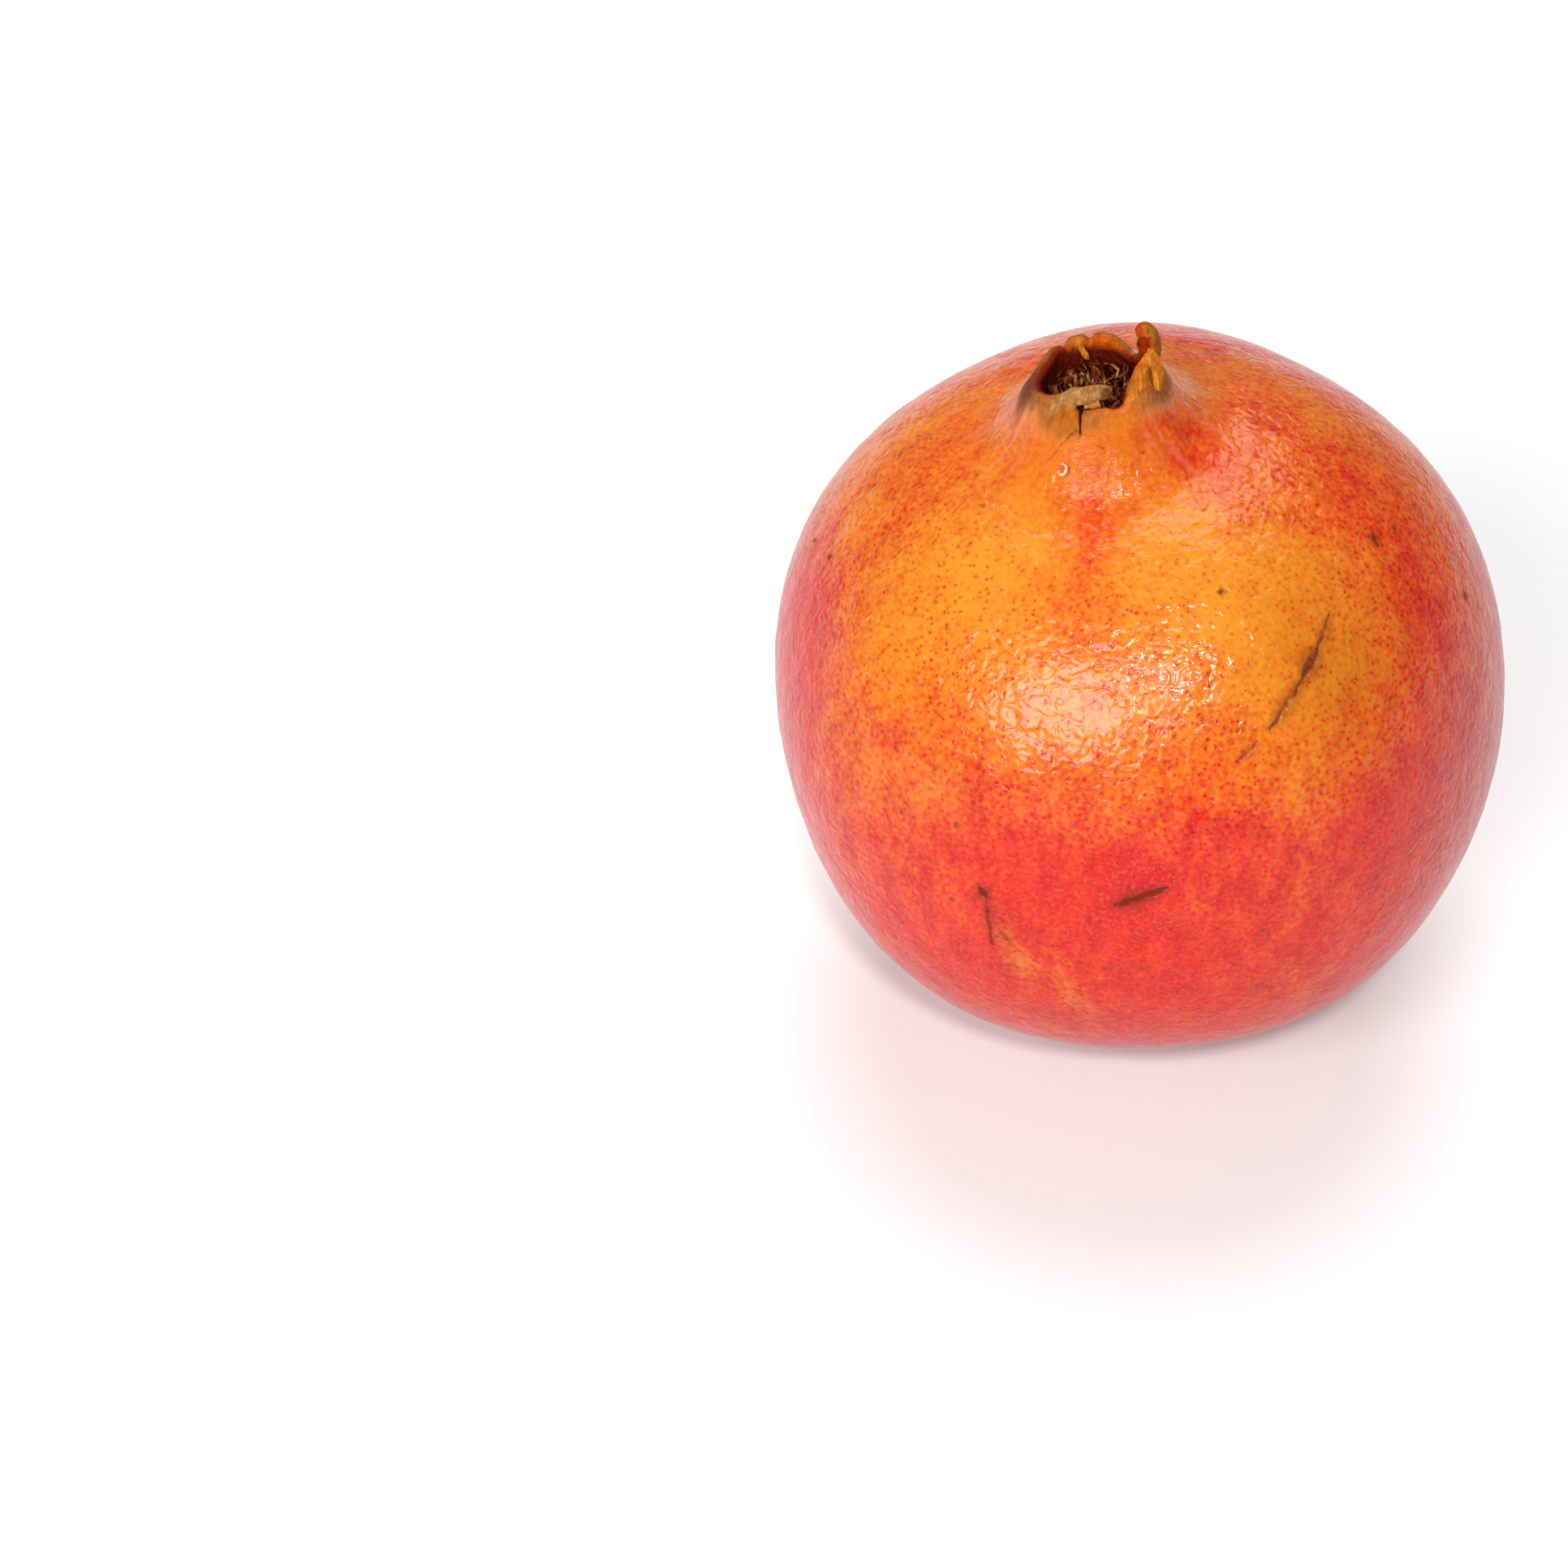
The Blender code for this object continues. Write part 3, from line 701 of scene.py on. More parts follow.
# %% Where the skin is red and where it is yellow
BLUSH_LOW, BLUSH_HIGH = 150.0, 88.0  # the blush fades in between these angles from the stem end
BLUSH_LEAST, BLUSH_RISE = 0.18, 0.8  # how far it has come at the top, and what the fade adds
BLUSH_UNEVEN, BLUSH_CLOUD = 0.12, 9.0  # its slow noise, and the size of that in mm
BLUSH_PATCHES = (
    # from the stem end, azimuth, spread along, spread across, strength
    (110, 188, 26, 14, 0.65),  # the left cheek
    (136, 218, 14, 14, -0.08),  # yellow left shoulder
    (151, 230, 10, 10, -0.14),
    (160, 262, 13, 4.0, 0.32),  # a streak down from the crown
    (150, 256, 14, 8, 0.22),
    (136, 260, 14, 7, 0.12),
    (148, 282, 8, 8, -0.06),  # yellow right of the middle
    (122, 306, 13, 12, -0.24),  # the ochre window
    (122, 286, 9, 12, -0.12),
    (104, 258, 9, 20, 0.2),  # red below the middle
    (166, 335, 8, 9, 0.34),  # red to the right of the crown
    (160, 322, 7, 7, 0.14),
    (152, 345, 12, 14, 0.22),  # the right shoulder
    (138, 342, 12, 12, 0.26),
    (122, 334, 14, 8, 0.20),
    (152, 172, 12, 20, 0.14),
    (140, 60, 30, 40, 0.42),  # the far side
    (125, 120, 30, 34, 0.25),
    (84, 247.5, 4.0, 2.6, -0.7),  # a pale scuff low on the front
    (79.5, 254, 4.5, 1.8, -0.5),
    (91, 245.5, 5.0, 1.5, -0.4),
)
GROUND_PATCHES = (
    # the same five numbers, then the colour that they bring
    (126, 309, 15, 11, 0.9, OCHRE),
    (84, 247, 5, 3.2, 0.7, OCHRE),
    (170, 262, 9, 20, 0.8, NECK_AMBER),
)


# %% Helpers for painting
def patch_share(points, centre_polar, centre_azimuth, along, across):
    """1 in the middle of a soft patch, with its spreads in degrees on the sphere of directions."""
    polar_angle, azimuth, _ = directions(points)
    away = (azimuth - centre_azimuth + 180.0) % 360.0 - 180.0
    side = away * np.sin(np.radians(np.minimum(polar_angle, 168.0)))
    return np.exp(-(((polar_angle - centre_polar) / along) ** 2) - (side / across) ** 2)


def mix(first, second, share):
    """Blends two colours, or rows of colours, by a share for each point."""
    return first + (second - first) * share[:, None]


def speckle(points, size, seed):
    """Slow noise for each point, from about -1 to 1, with features of this size in millimetres."""
    shift = Vector((seed * 7.3, seed * 3.1, seed * 5.7))
    return np.array([noise.noise(Vector(p) / size + shift) for p in points])


# %% Paint the skin
own = points_of(rind.data)
polar_angle, azimuth, radius = directions(own)
height = own[:, 2] - RIM_HEIGHT
top = own[:, 2] > 0.0
blush = smooth(BLUSH_LOW, BLUSH_HIGH, polar_angle) * BLUSH_RISE + BLUSH_LEAST
for *patch, strength in BLUSH_PATCHES:
    blush += strength * patch_share(own, *patch)
blush += BLUSH_UNEVEN * speckle(own, BLUSH_CLOUD, 1)

ground = np.tile(AMBER, (len(own), 1))
for *patch, strength, colour in GROUND_PATCHES:
    ground = mix(ground, colour, strength * patch_share(own, *patch))
print("blush from", round(float(blush.min()), 2), "to", round(float(blush.max()), 2))

# %% [markdown]
# ## The dried crown
# Where the calyx has dried it is bark: grey brown on its weathered left, tan and amber in front, brown
# orange on the sepals, deep red brown in the cup, painted darker towards its floor as shade. The union kept
# a slot for each piece, so every zone can take its own colour. The bark's lower edge is ragged and streaked
# along the neck, which one noise in all directions and one by azimuth give together.

# %% Colours and arcs of the crown
TAN_BARK, GREY_BARK, FRONT_TAN = tint("#c47434"), tint("#8e4a24"), tint("#cc7018")
# the cup's red brown, and a darker brown that is painted shade deep in the cup
CUP_BROWN, CUP_SHADE_BROWN = tint("#86200a"), tint("#481405")
LIP_ORANGE, LIP_YELLOW = tint("#f06a0c"), tint("#ea8c28")
SEPAL_INNER, SEPAL_OUTER = tint("#d84006"), tint("#c87428")
STRIP_TAN, LINING_PEACH, SPOT_BROWN = tint("#c68a4c"), tint("#f09850"), tint("#5e2a10")

# each arc is an azimuth and the degrees that it reaches before and after
LEFT_ARC, LEFT_FRONT_ARC, RIGHT_ARC = (178, 70, 34), (236, 26, 18), (345, 30, 70)  # bark reaches lower
TAN_ARC, AMBER_ARC, FRONT_ARC = (244, 34, 22), (285, 32, 45), (262, 60, 60)
BACK_LIP_ARC, YELLOW_LIP_ARC = (70, 75, 70), (104, 16, 12)


# %% Which point belongs where
def zone_points(name):
    """Which points belong to a face of this zone."""
    corners = numbers(rind.data.loops, "vertex_index", kind=np.int32)
    totals = numbers(rind.data.polygons, "loop_total", kind=np.int32)
    chosen = np.zeros(len(own), bool)
    chosen[corners[np.repeat(zones == zone_names.index(name), totals)]] = True
    return chosen


inside = zone_points("cup")
normals = numbers(rind.data.vertices, "normal", 3)
facing_in = -(own[:, :2] * normals[:, :2]).sum(1) / np.maximum(radius, 0.1)
print("inside the cup:", int(inside.sum()), "points")

# %% Paint the bark
left_bark = bump(azimuth, *LEFT_ARC)
bark_reach = 0.9 + 1.7 * left_bark + 0.9 * bump(azimuth, *LEFT_FRONT_ARC) + 1.0 * bump(azimuth, *RIGHT_ARC)
outward = own[:, :2] / np.maximum(radius, 0.1)[:, None]
by_azimuth = np.concatenate([outward * 12.0, own[:, 2:] * 0.12], 1)
ragged = 0.9 * speckle(own, 2.6, 2) + 0.6 * speckle(by_azimuth, 1.0, 10)
uneven_height = height + ragged * np.minimum(bark_reach, 1.5)
front_rim = bump(azimuth, *AMBER_ARC)
dry = smooth(-2.3 * bark_reach - 0.8, -0.2 * bark_reach, uneven_height) * top
dry = dry * (1.0 - 0.6 * front_rim)
bark = mix(TAN_BARK, GREY_BARK, np.clip(left_bark * 1.1 + 0.3 * speckle(own, 1.6, 3), 0.0, 1.0))
bark = mix(bark, FRONT_TAN, bump(azimuth, *TAN_ARC))
bark = mix(bark, NECK_AMBER, 0.9 * front_rim)
ground = mix(ground, bark, smooth(0.0, 0.6, dry))
# on the left the blush fades more slowly into the bark, which leaves a dark red brown edge there as painted
# shade
blush = blush * (1.0 - smooth(0.0, 0.4 + 0.6 * left_bark, dry))
blush = blush * (1.0 - 0.55 * smooth(16.0, 9.0, radius) * bump(azimuth, *FRONT_ARC) * top)
print("bark:", int((dry > 0.5).sum()), "points")

# %% Paint the cup's wall
# painted shade: the wall darkens from a little below the rim down to the floor of the cup
depth = smooth(-1.6, -6.0, height + 0.9 * speckle(own, 1.3, 4))
wall = mix(CUP_BROWN, CUP_SHADE_BROWN, depth)
back_lip = bump(azimuth, *BACK_LIP_ARC) * smooth(-1.6, -0.4, height)
wall = mix(wall, LIP_ORANGE, np.clip(back_lip * (1.0 + 0.4 * speckle(own, 1.1, 5)), 0.0, 1.0))
wall = mix(wall, LIP_YELLOW, bump(azimuth, *YELLOW_LIP_ARC) * smooth(-1.2, 0.2, height))
ground[inside], dry[inside], blush[inside] = wall[inside], 1.0, 0.0
print("deep in the cup:", int((inside & (depth > 0.5)).sum()), "points")

# %% Paint the sepals
SEPAL_COLOURS = {
    # of the outer and of the inner face
    "tall": (SEPAL_OUTER, SEPAL_INNER),
    "folded": (LIP_YELLOW, LIP_ORANGE),
    "flap": (LIP_YELLOW, SEPAL_OUTER),
    "strip": (STRIP_TAN, STRIP_TAN),
    "lining": (LINING_PEACH, LINING_PEACH),
    "tongue": (LIP_ORANGE, LIP_YELLOW),
}
ROOTED = ("tall", "folded")  # these take the wall's colour where they grow out of it
SPOT_PLACE = (1.45, -5.25, 1.25)  # the brown spot on the strip, with its height from the rim

streaks = np.clip(1.0 + 0.3 * speckle(own * np.array([1.6, 1.6, 0.5]), 0.8, 6), 0.5, 1.3)
root = smooth(0.8, -1.4, height) * smooth(-0.2, 0.4, facing_in) * (radius < RIM_RADIUS + 0.4)
for name, (outer, inner) in SEPAL_COLOURS.items():
    here = zone_points(name) & ~inside
    shade = mix(outer, inner, smooth(0.0, 0.5, facing_in)) * streaks[:, None]
    if name in ROOTED:
        shade = mix(shade, wall, root)
    ground[here], dry[here], blush[here] = shade[here], 1.0, 0.0

from_spot = own - np.array(SPOT_PLACE) - np.array([0.0, 0.0, RIM_HEIGHT])
spot = smooth(0.75, 0.35, np.hypot(0.8 * from_spot[:, 0], 1.3 * from_spot[:, 2])) * zone_points("strip")
ground = mix(ground, SPOT_BROWN, 0.8 * spot)
print("sepals:", len(SEPAL_COLOURS), "painted, spot on", int((spot > 0.5).sum()), "points")

# %% [markdown]
# ## Soft changes and brown edges
# Living tissue changes gradually, so the ground, the blush and the dryness are blurred a little before
# they are stored. The blur goes from point to neighbour along the mesh's edges, which keeps the two faces
# of a thin sepal apart. The same neighbours tell how sharp the surface is: a point that stands well above
# their mean lies on an edge, and the edges of dried bark are where it browns.

# %% Neighbours on the mesh
edges = numbers(rind.data.edges, "vertices", 2, np.int32)
touching = np.maximum(np.bincount(edges.ravel(), minlength=len(own)), 1)


def neighbours(values):
    """The mean of each point's neighbours."""
    total = np.zeros_like(values)
    np.add.at(total, edges[:, 0], values[edges[:, 1]])
    np.add.at(total, edges[:, 1], values[edges[:, 0]])
    return total / (touching if values.ndim == 1 else touching[:, None])


def blurred(values, times=2):
    """Averages each point's value with its neighbours'."""
    for _ in range(times):
        values = 0.5 * values + 0.5 * neighbours(values)
    return values


sharpness = -((neighbours(own) - own) * normals).sum(1)
browned = smooth(0.012, 0.05, blurred(sharpness, 1)) * np.clip(dry, 0.0, 1.0) * ~inside
ground = ground * (1.0 - 0.6 * browned[:, None])
print("brown edges:", int((browned > 0.5).sum()), "points")

# %% Store the layers
# painted sheen: pale pink streaks down the sides of the neck, where the furrows catch the light
painted_sheen = neck * sides_of_neck * smooth(0.0, 0.5, speckle(by_azimuth, 1.0, 9)) * (1.0 - dry)
pleated = smooth(15.0, 10.5, radius) * smooth(6.0, 9.0, radius) * bump(azimuth, 262, 34, 34) * top
painted(rind.data, "ground", blurred(ground))
painted(rind.data, "blush", blurred(np.clip(blush, 0.0, 1.3)))
painted(rind.data, "dry", blurred(np.clip(dry, 0.0, 1.0)))
painted(rind.data, "painted_sheen", painted_sheen)
painted(rind.data, "pleated", pleated)
painted(rind.data, "porous", 1.0 - 0.75 * smooth(27.0, 12.0, radius) * top)
print("painted", len(own), "points, waxy:", int((painted_sheen > 0.5).sum()), "pleated:", int((pleated > 0.5).sum()))

# %% [markdown]
# ## Standing it up
# The fruit leans to the left and a little to the front, and is cut flat where it rests. The solids were
# placed by the same lean, so setting this skin's box on theirs puts it in the frame to a few hundredths
# of a millimetre. The place goes into the mesh, and the object stays at the origin.

# %% The lean and the place
def leaned():
    """The turn from the fruit's own axis to the way it stands."""
    left, front = math.radians(LEAN_LEFT), math.radians(LEAN_FRONT)
    up = Vector((-math.sin(left) * math.cos(front), -math.sin(front), math.cos(left) * math.cos(front)))
    right = Vector((0.0, 1.0, 0.0)).cross(up).normalized()
    return np.array(Matrix((right, up.cross(right), up)).transposed())


LEAN = leaned()
standing = own @ LEAN.T
fruit_low, fruit_high = (np.array(corner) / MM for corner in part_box("fruit"))
middle_gap = 0.5 * (fruit_low + fruit_high - standing.min(0) - standing.max(0))
BODY_CENTRE = np.array([middle_gap[0], middle_gap[1], -(standing[:, 2].min() + FLAT_DEPTH)])
print("the body's centre stands at", BODY_CENTRE.round(2), "mm")


# %% Stand the rind
def placed(points):
    """From the fruit's own axis to the frame."""
    return points @ LEAN.T + BODY_CENTRE


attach(rind, "root")
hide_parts("fruit")

moved = placed(own)
moved[:, 2] = np.maximum(moved[:, 2], 0.0)
set_points(rind.data, moved)
rind.data.shade_smooth()
print("flat on", int((moved[:, 2] == 0.0).sum()), "points")

# %% [markdown]
# ## The finish of the rind
# Skin and bark are one finish here, because on the fruit they are one surface. The skin is the ground
# colour under a blush that noise breaks into mottles a few millimetres wide and grains below one
# millimetre, with orange flecks where it is reddest. Over it lie lenticels, the red brown pores, which a
# Voronoi texture scatters as the skin does, a little under a millimetre apart, each in a redder halo.
# The bark takes its painted colour with fibres and blotches. Low bumps give the skin the pebbling that
# breaks up every highlight, and roughness rises where it is dry.

# %% Helpers for finishes
def rgba(colour):
    """A colour as a socket takes it."""
    return (*colour, 1.0)


def blend(tree, share, first, second, mode="MIX"):
    """Mixes two colours by a share."""
    made = node(tree, "ShaderNodeMix", {0: share, 6: first, 7: second}, data_type="RGBA", blend_type=mode)
    return made.outputs[2]


def cells(tree, place, density):
    """A Voronoi texture with this many cells a metre."""
    inputs = {"Vector": place, "Scale": density, "Randomness": 1.0}
    return node(tree, "ShaderNodeTexVoronoi", inputs).outputs


def raised(tree, height, distance, normal=None):
    """A bump that stands this distance in metres where the height is 1, on top of another if there is one."""
    inputs = {"Distance": distance, "Height": height}
    if normal is not None:
        inputs["Normal"] = normal
    return node(tree, "ShaderNodeBump", inputs).outputs[0]


def surface_of(material):
    """A material's tree, its surface node and the place that its textures read."""
    material.use_nodes = True
    tree = material.node_tree
    return tree, tree.nodes["Principled BSDF"], node(tree, "ShaderNodeTexCoord").outputs["Object"]


# %% The blush, its flecks and the painted sheen
RED_DEEP, RED_BRIGHT = tint("#dc0a0a"), tint("#f42814")
# the pale pink is a painted sheen, laid on the sides of the neck where the furrows catch the light
SHEEN_PINK, FLECK_ORANGE = tint("#ffb4a0"), tint("#ff7448")
MOTTLING = {"clouds": 0.7, "mottles": 0.85, "grains": 0.9}  # how far each pattern shifts the blush
CLOUD_DENSITY, MOTTLE_DENSITY, GRAIN_DENSITY = 75.0, 330.0, 1500.0
PORE_DENSITY, FLECK_DENSITY = 1300.0, 1900.0


def skin_patterns(tree, place):
    """The patterns that several steps of the skin share, from the widest to the finest."""
    tall = vectors(tree, "MULTIPLY", place, (1.0, 1.0, 0.6))
    return {
        "clouds": noisy(tree, tall, CLOUD_DENSITY, detail=3.0),
        "mottles": noisy(tree, tall, MOTTLE_DENSITY, detail=5.0, roughness=0.65),
        "grains": noisy(tree, place, GRAIN_DENSITY),
        "cells": cells(tree, place, PORE_DENSITY)["Distance"],
    }


def blushed(tree, place, layers, patterns):
    """The ground colour under the broken blush, flecked where it is reddest, with a painted pale sheen on the
    neck's sides.
    """
    reddening = layers["blush"]["Fac"]
    for name, strength in MOTTLING.items():
        shifted = maths(tree, "SUBTRACT", patterns[name], 0.5)
        reddening = maths(tree, "MULTIPLY_ADD", shifted, strength, reddening)
    halos = maths(tree, "MULTIPLY", within(tree, patterns["cells"], 0.62, 0.30), layers["porous"]["Fac"])
    reddening = maths(tree, "MULTIPLY_ADD", halos, 0.13, maths(tree, "SUBTRACT", reddening, 0.03))
    red = blend(tree, within(tree, patterns["mottles"], 0.35, 0.7), rgba(RED_BRIGHT), rgba(RED_DEEP))
    skin = blend(tree, within(tree, reddening, -0.15, 1.1), layers["ground"]["Color"], red)
    flecks = noisy(tree, place, FLECK_DENSITY, detail=3.0, roughness=0.6)
    full_red = within(tree, reddening, 0.75, 1.25)
    flecks = product(tree, within(tree, flecks, 0.48, 0.66), full_red, 0.42)
    skin = blend(tree, flecks, skin, rgba(FLECK_ORANGE))
    # painted sheen: pale pink laid over the skin on the neck's sides
    return blend(tree, maths(tree, "MULTIPLY", layers["painted_sheen"]["Fac"], 0.25), skin, rgba(SHEEN_PINK))


# %% Pores and brown spots
PORE_SHADE = (0.66, 0.36, 0.2)  # what a pore leaves of the colour round it
SPOT_DENSITY = 190.0
SCAR_BROWN = tint("#783216")


def pore_shares(tree, layers, patterns):
    """How much of a pore each place is, with grains for uneven sizes and clouds for uneven strength."""
    size = maths(tree, "MULTIPLY", maths(tree, "SUBTRACT", patterns["grains"], 0.5), 0.35)
    pores = within(tree, maths(tree, "SUBTRACT", patterns["cells"], size), 0.31, 0.1)
    strength = within(tree, patterns["clouds"], 0.35, 0.6, 0.55, 1.0)
    return product(tree, pores, strength, layers["porous"]["Fac"])


def spot_shares(tree, place):
    """A few brown spots, each of its own size, because the random colour of its cell sets it."""
    spots = cells(tree, place, SPOT_DENSITY)
    size = maths(tree, "MULTIPLY", spots["Color"], 0.085)
    spotted = within(tree, maths(tree, "SUBTRACT", spots["Distance"], size), 0.03, -0.02)
    return maths(tree, "MULTIPLY", spotted, 0.6)


# %% [markdown]
# ## Scars
# Twigs and leaves have rubbed this fruit while it grew. Each scar is a short brown line with a wider,
# softer stain round it, so one small node group answers for all of them: how near a place is to the line
# between two ends. Noise shifts the place first, which frays the lines. They could be painted on the points
# like the blush, but the finest is a fifth of a millimetre wide, which is less than the points' spacing.

# %% Where the scars are
def on_skin(polar_angle, azimuth):
    """A point of the standing fruit's surface, in metres, from two angles in degrees."""
    r, z = body_point(math.radians(polar_angle))
    if z > 0.0 and r < NECK_SPREAD:
        z = neck_height(max(r, RIM_RADIUS))
    angle = math.radians(azimuth)
    return Vector(placed(grown(np.array([[r * math.cos(angle), r * math.sin(angle), z]])))[0]) * MM


SCARS = (
    # two ends as (from the stem end, azimuth), half the width, strength
    ((131.8, 314.6), (129.0, 308.0), 0.42, 0.8),
    ((129.0, 308.0), (126.7, 302.6), 0.80, 1.0),
    ((126.7, 302.6), (122.2, 293.4), 0.60, 0.85),
    ((121.0, 290.4), (119.4, 286.6), 0.40, 0.5),
    ((101.4, 271.8), (100.0, 267.0), 0.70, 1.0),
    ((100.6, 269.0), (98.7, 264.0), 0.95, 1.0),
    ((99.6, 242.4), (98.4, 243.4), 0.90, 1.0),
    ((98.4, 243.4), (88.2, 243.2), 0.42, 0.8),
    ((92.1, 244.8), (89.0, 246.4), 0.45, 0.5),
    ((133.8, 337.6), (132.2, 336.2), 0.55, 0.9),
    ((113.9, 345.9), (112.9, 345.0), 0.70, 0.7),
    ((143.4, 295.6), (143.2, 296.4), 0.40, 0.9),
    ((169.0, 252.4), (168.2, 244.2), 0.12, 0.6),
    ((168.2, 244.2), (165.8, 230.6), 0.10, 0.4),
    ((168.9, 254.0), (167.2, 276.0), 0.10, 0.35),
    ((131.0, 183.6), (130.0, 182.4), 0.50, 0.8),
    ((126.8, 174.0), (126.0, 172.8), 0.45, 0.7),
)
SCAR_FRAY, FRAY_DENSITY, BREAK_DENSITY = 0.0007, 900.0, 1100.0
STAIN_SHADE = (0.5, 0.36, 0.26)  # what the stain round a scar leaves of the colour
print(len(SCARS), "scars, the first from", [round(v / MM, 1) for v in on_skin(*SCARS[0][0])])


# %% Scars in the finish
def scar_group():
    """How near a point is to a line between two ends, as a share of its width, and the stain round it."""
    tree = bpy.data.node_groups.new("scar", "ShaderNodeTree")
    for name, kind in (("Place", "Vector"), ("Start", "Vector"), ("Stop", "Vector"), ("Width", "Float")):
        tree.interface.new_socket(name, in_out="INPUT", socket_type="NodeSocket" + kind)
    for name in ("Share", "Halo"):
        tree.interface.new_socket(name, in_out="OUTPUT", socket_type="NodeSocketFloat")
    given = tree.nodes.new("NodeGroupInput").outputs
    line = vectors(tree, "SUBTRACT", given["Stop"], given["Start"])
    reach = vectors(tree, "SUBTRACT", given["Place"], given["Start"])
    lengths = maths(tree, "MAXIMUM", vectors(tree, "DOT_PRODUCT", line, line), 1e-9)
    along = maths(tree, "DIVIDE", vectors(tree, "DOT_PRODUCT", reach, line), lengths, clamp=True)
    away = vectors(tree, "LENGTH", vectors(tree, "SUBTRACT", reach, scaled(tree, line, along)))
    taper = maths(tree, "MULTIPLY_ADD", maths(tree, "SINE", product(tree, along, math.pi)), 0.6, 0.4)
    relative = maths(tree, "DIVIDE", away, product(tree, given["Width"], taper))
    shares = {"Share": within(tree, relative, 1.1, 0.2), "Halo": within(tree, relative, 3.6, 0.9)}
    feed(tree, tree.nodes.new("NodeGroupOutput"), shares)
    return tree


def scar_shares(tree, place):
    """How scarred and how stained each place is, by the strongest scar near it."""
    shift = noisy(tree, place, FRAY_DENSITY, detail=3.0, result=1)
    shift = vectors(tree, "SUBTRACT", shift, (0.5, 0.5, 0.5))
    frayed = vectors(tree, "MULTIPLY_ADD", shift, (SCAR_FRAY, SCAR_FRAY, SCAR_FRAY), place)
    group, scarred, stained = scar_group(), 0.0, 0.0
    for start, stop, width, strength in SCARS:
        line = {"Place": frayed, "Start": on_skin(*start), "Stop": on_skin(*stop), "Width": width * MM}
        near = node(tree, "ShaderNodeGroup", line, node_tree=group).outputs
        scarred = maths(tree, "MAXIMUM", scarred, maths(tree, "MULTIPLY", near["Share"], strength))
        stained = maths(tree, "MAXIMUM", stained, maths(tree, "MULTIPLY", near["Halo"], strength))
    return scarred, stained


def with_scars(tree, place, skin, scarred, stained):
    """The stain darkens the skin, and the scar covers it in broken brown."""
    broken = noisy(tree, place, BREAK_DENSITY, detail=3.0, roughness=0.6)
    broken = within(tree, broken, 0.32, 0.6, 0.35, 1.0)
    skin = blend(tree, maths(tree, "MULTIPLY", stained, 0.6), skin, rgba(STAIN_SHADE), "MULTIPLY")
    return blend(tree, maths(tree, "MULTIPLY", scarred, broken), skin, rgba(SCAR_BROWN))


# %% [markdown]
# ## Gloss, low bumps and bark
# The skin shines like thin wax over something softer, so it has a clear coat over a duller base. The coat
# is thinner on the pleats in front of the crown, and scars and bark have none. Four layers of bumps lie on
# one another: pebbles, pleats, the pits of scars and pores, and the roughness of the bark. All are under
# half a millimetre, so they stay in the shader, where the mesh would need millions of faces for them.

# %% Gloss and bumps
GLOSS_DENSITY, PEBBLE_DENSITY, PLEAT_DENSITY = 420.0, 620.0, 800.0
PEBBLE_HEIGHT, PLEAT_HEIGHT, PIT_DEPTH, BARK_HEIGHT = 0.00026, 0.0003, 0.00018, 0.00034


def glossy(tree, surface, place, layers, matt):
    """A thin wet-looking coat on the skin, duller on the pleats, and none where it is matt."""
    gloss = within(tree, noisy(tree, place, GLOSS_DENSITY), 0.3, 0.7, 0.34, 0.44)
    wet = maths(tree, "MULTIPLY_ADD", layers["pleated"]["Fac"], -0.25, 0.5)
    look = {
        "Roughness": maths(tree, "MULTIPLY_ADD", matt, 0.42, gloss),
        "IOR": 1.4,
        "Specular IOR Level": 0.08,
        "Coat Weight": product(tree, maths(tree, "SUBTRACT", 1.0, matt, clamp=True), wet),
        "Coat Roughness": 0.16,
        "Coat IOR": 1.5,
    }
    feed(tree, surface, look)


def bumpy(tree, place, layers, pits, bark_height):
    """Pebbles on the skin, pleats in front of the crown, pits at scars and pores, rough bark."""
    dryness = layers["dry"]["Fac"]
    pebbles = noisy(tree, place, PEBBLE_DENSITY, detail=2.5, roughness=0.35, distortion=0.9)
    pebbles = product(tree, pebbles, maths(tree, "SUBTRACT", 1.0, dryness, clamp=True))
    flattened = vectors(tree, "MULTIPLY", place, (1.0, 1.0, 2.2))
    pleats = noisy(tree, flattened, PLEAT_DENSITY, detail=3.0, distortion=1.0)
    relief = raised(tree, pebbles, PEBBLE_HEIGHT)
    relief = raised(tree, product(tree, pleats, layers["pleated"]["Fac"]), PLEAT_HEIGHT, relief)
    relief = raised(tree, pits, PIT_DEPTH, relief)
    return raised(tree, product(tree, bark_height, dryness), BARK_HEIGHT, relief)


# %% The bark and the whole finish
FIBRE_DENSITY, BLOTCH_DENSITY = 2600.0, 900.0
LAYERS = ("ground", "blush", "dry", "painted_sheen", "pleated", "porous")


def bark_look(tree, place, painted_colour):
    """The painted colour, weathered by fibres and blotches, and the height that these give the bark."""
    upright = vectors(tree, "MULTIPLY", place, (1.0, 1.0, 0.25))
    fibres = noisy(tree, upright, FIBRE_DENSITY, detail=4.0, roughness=0.6)
    blotches = noisy(tree, place, BLOTCH_DENSITY, detail=4.0, roughness=0.6)
    weather = within(tree, fibres, 0.3, 0.7, 0.76, 1.16)
    weather = product(tree, weather, within(tree, blotches, 0.35, 0.65, 0.8, 1.12))
    return scaled(tree, painted_colour, weather), maths(tree, "ADD", fibres, blotches)


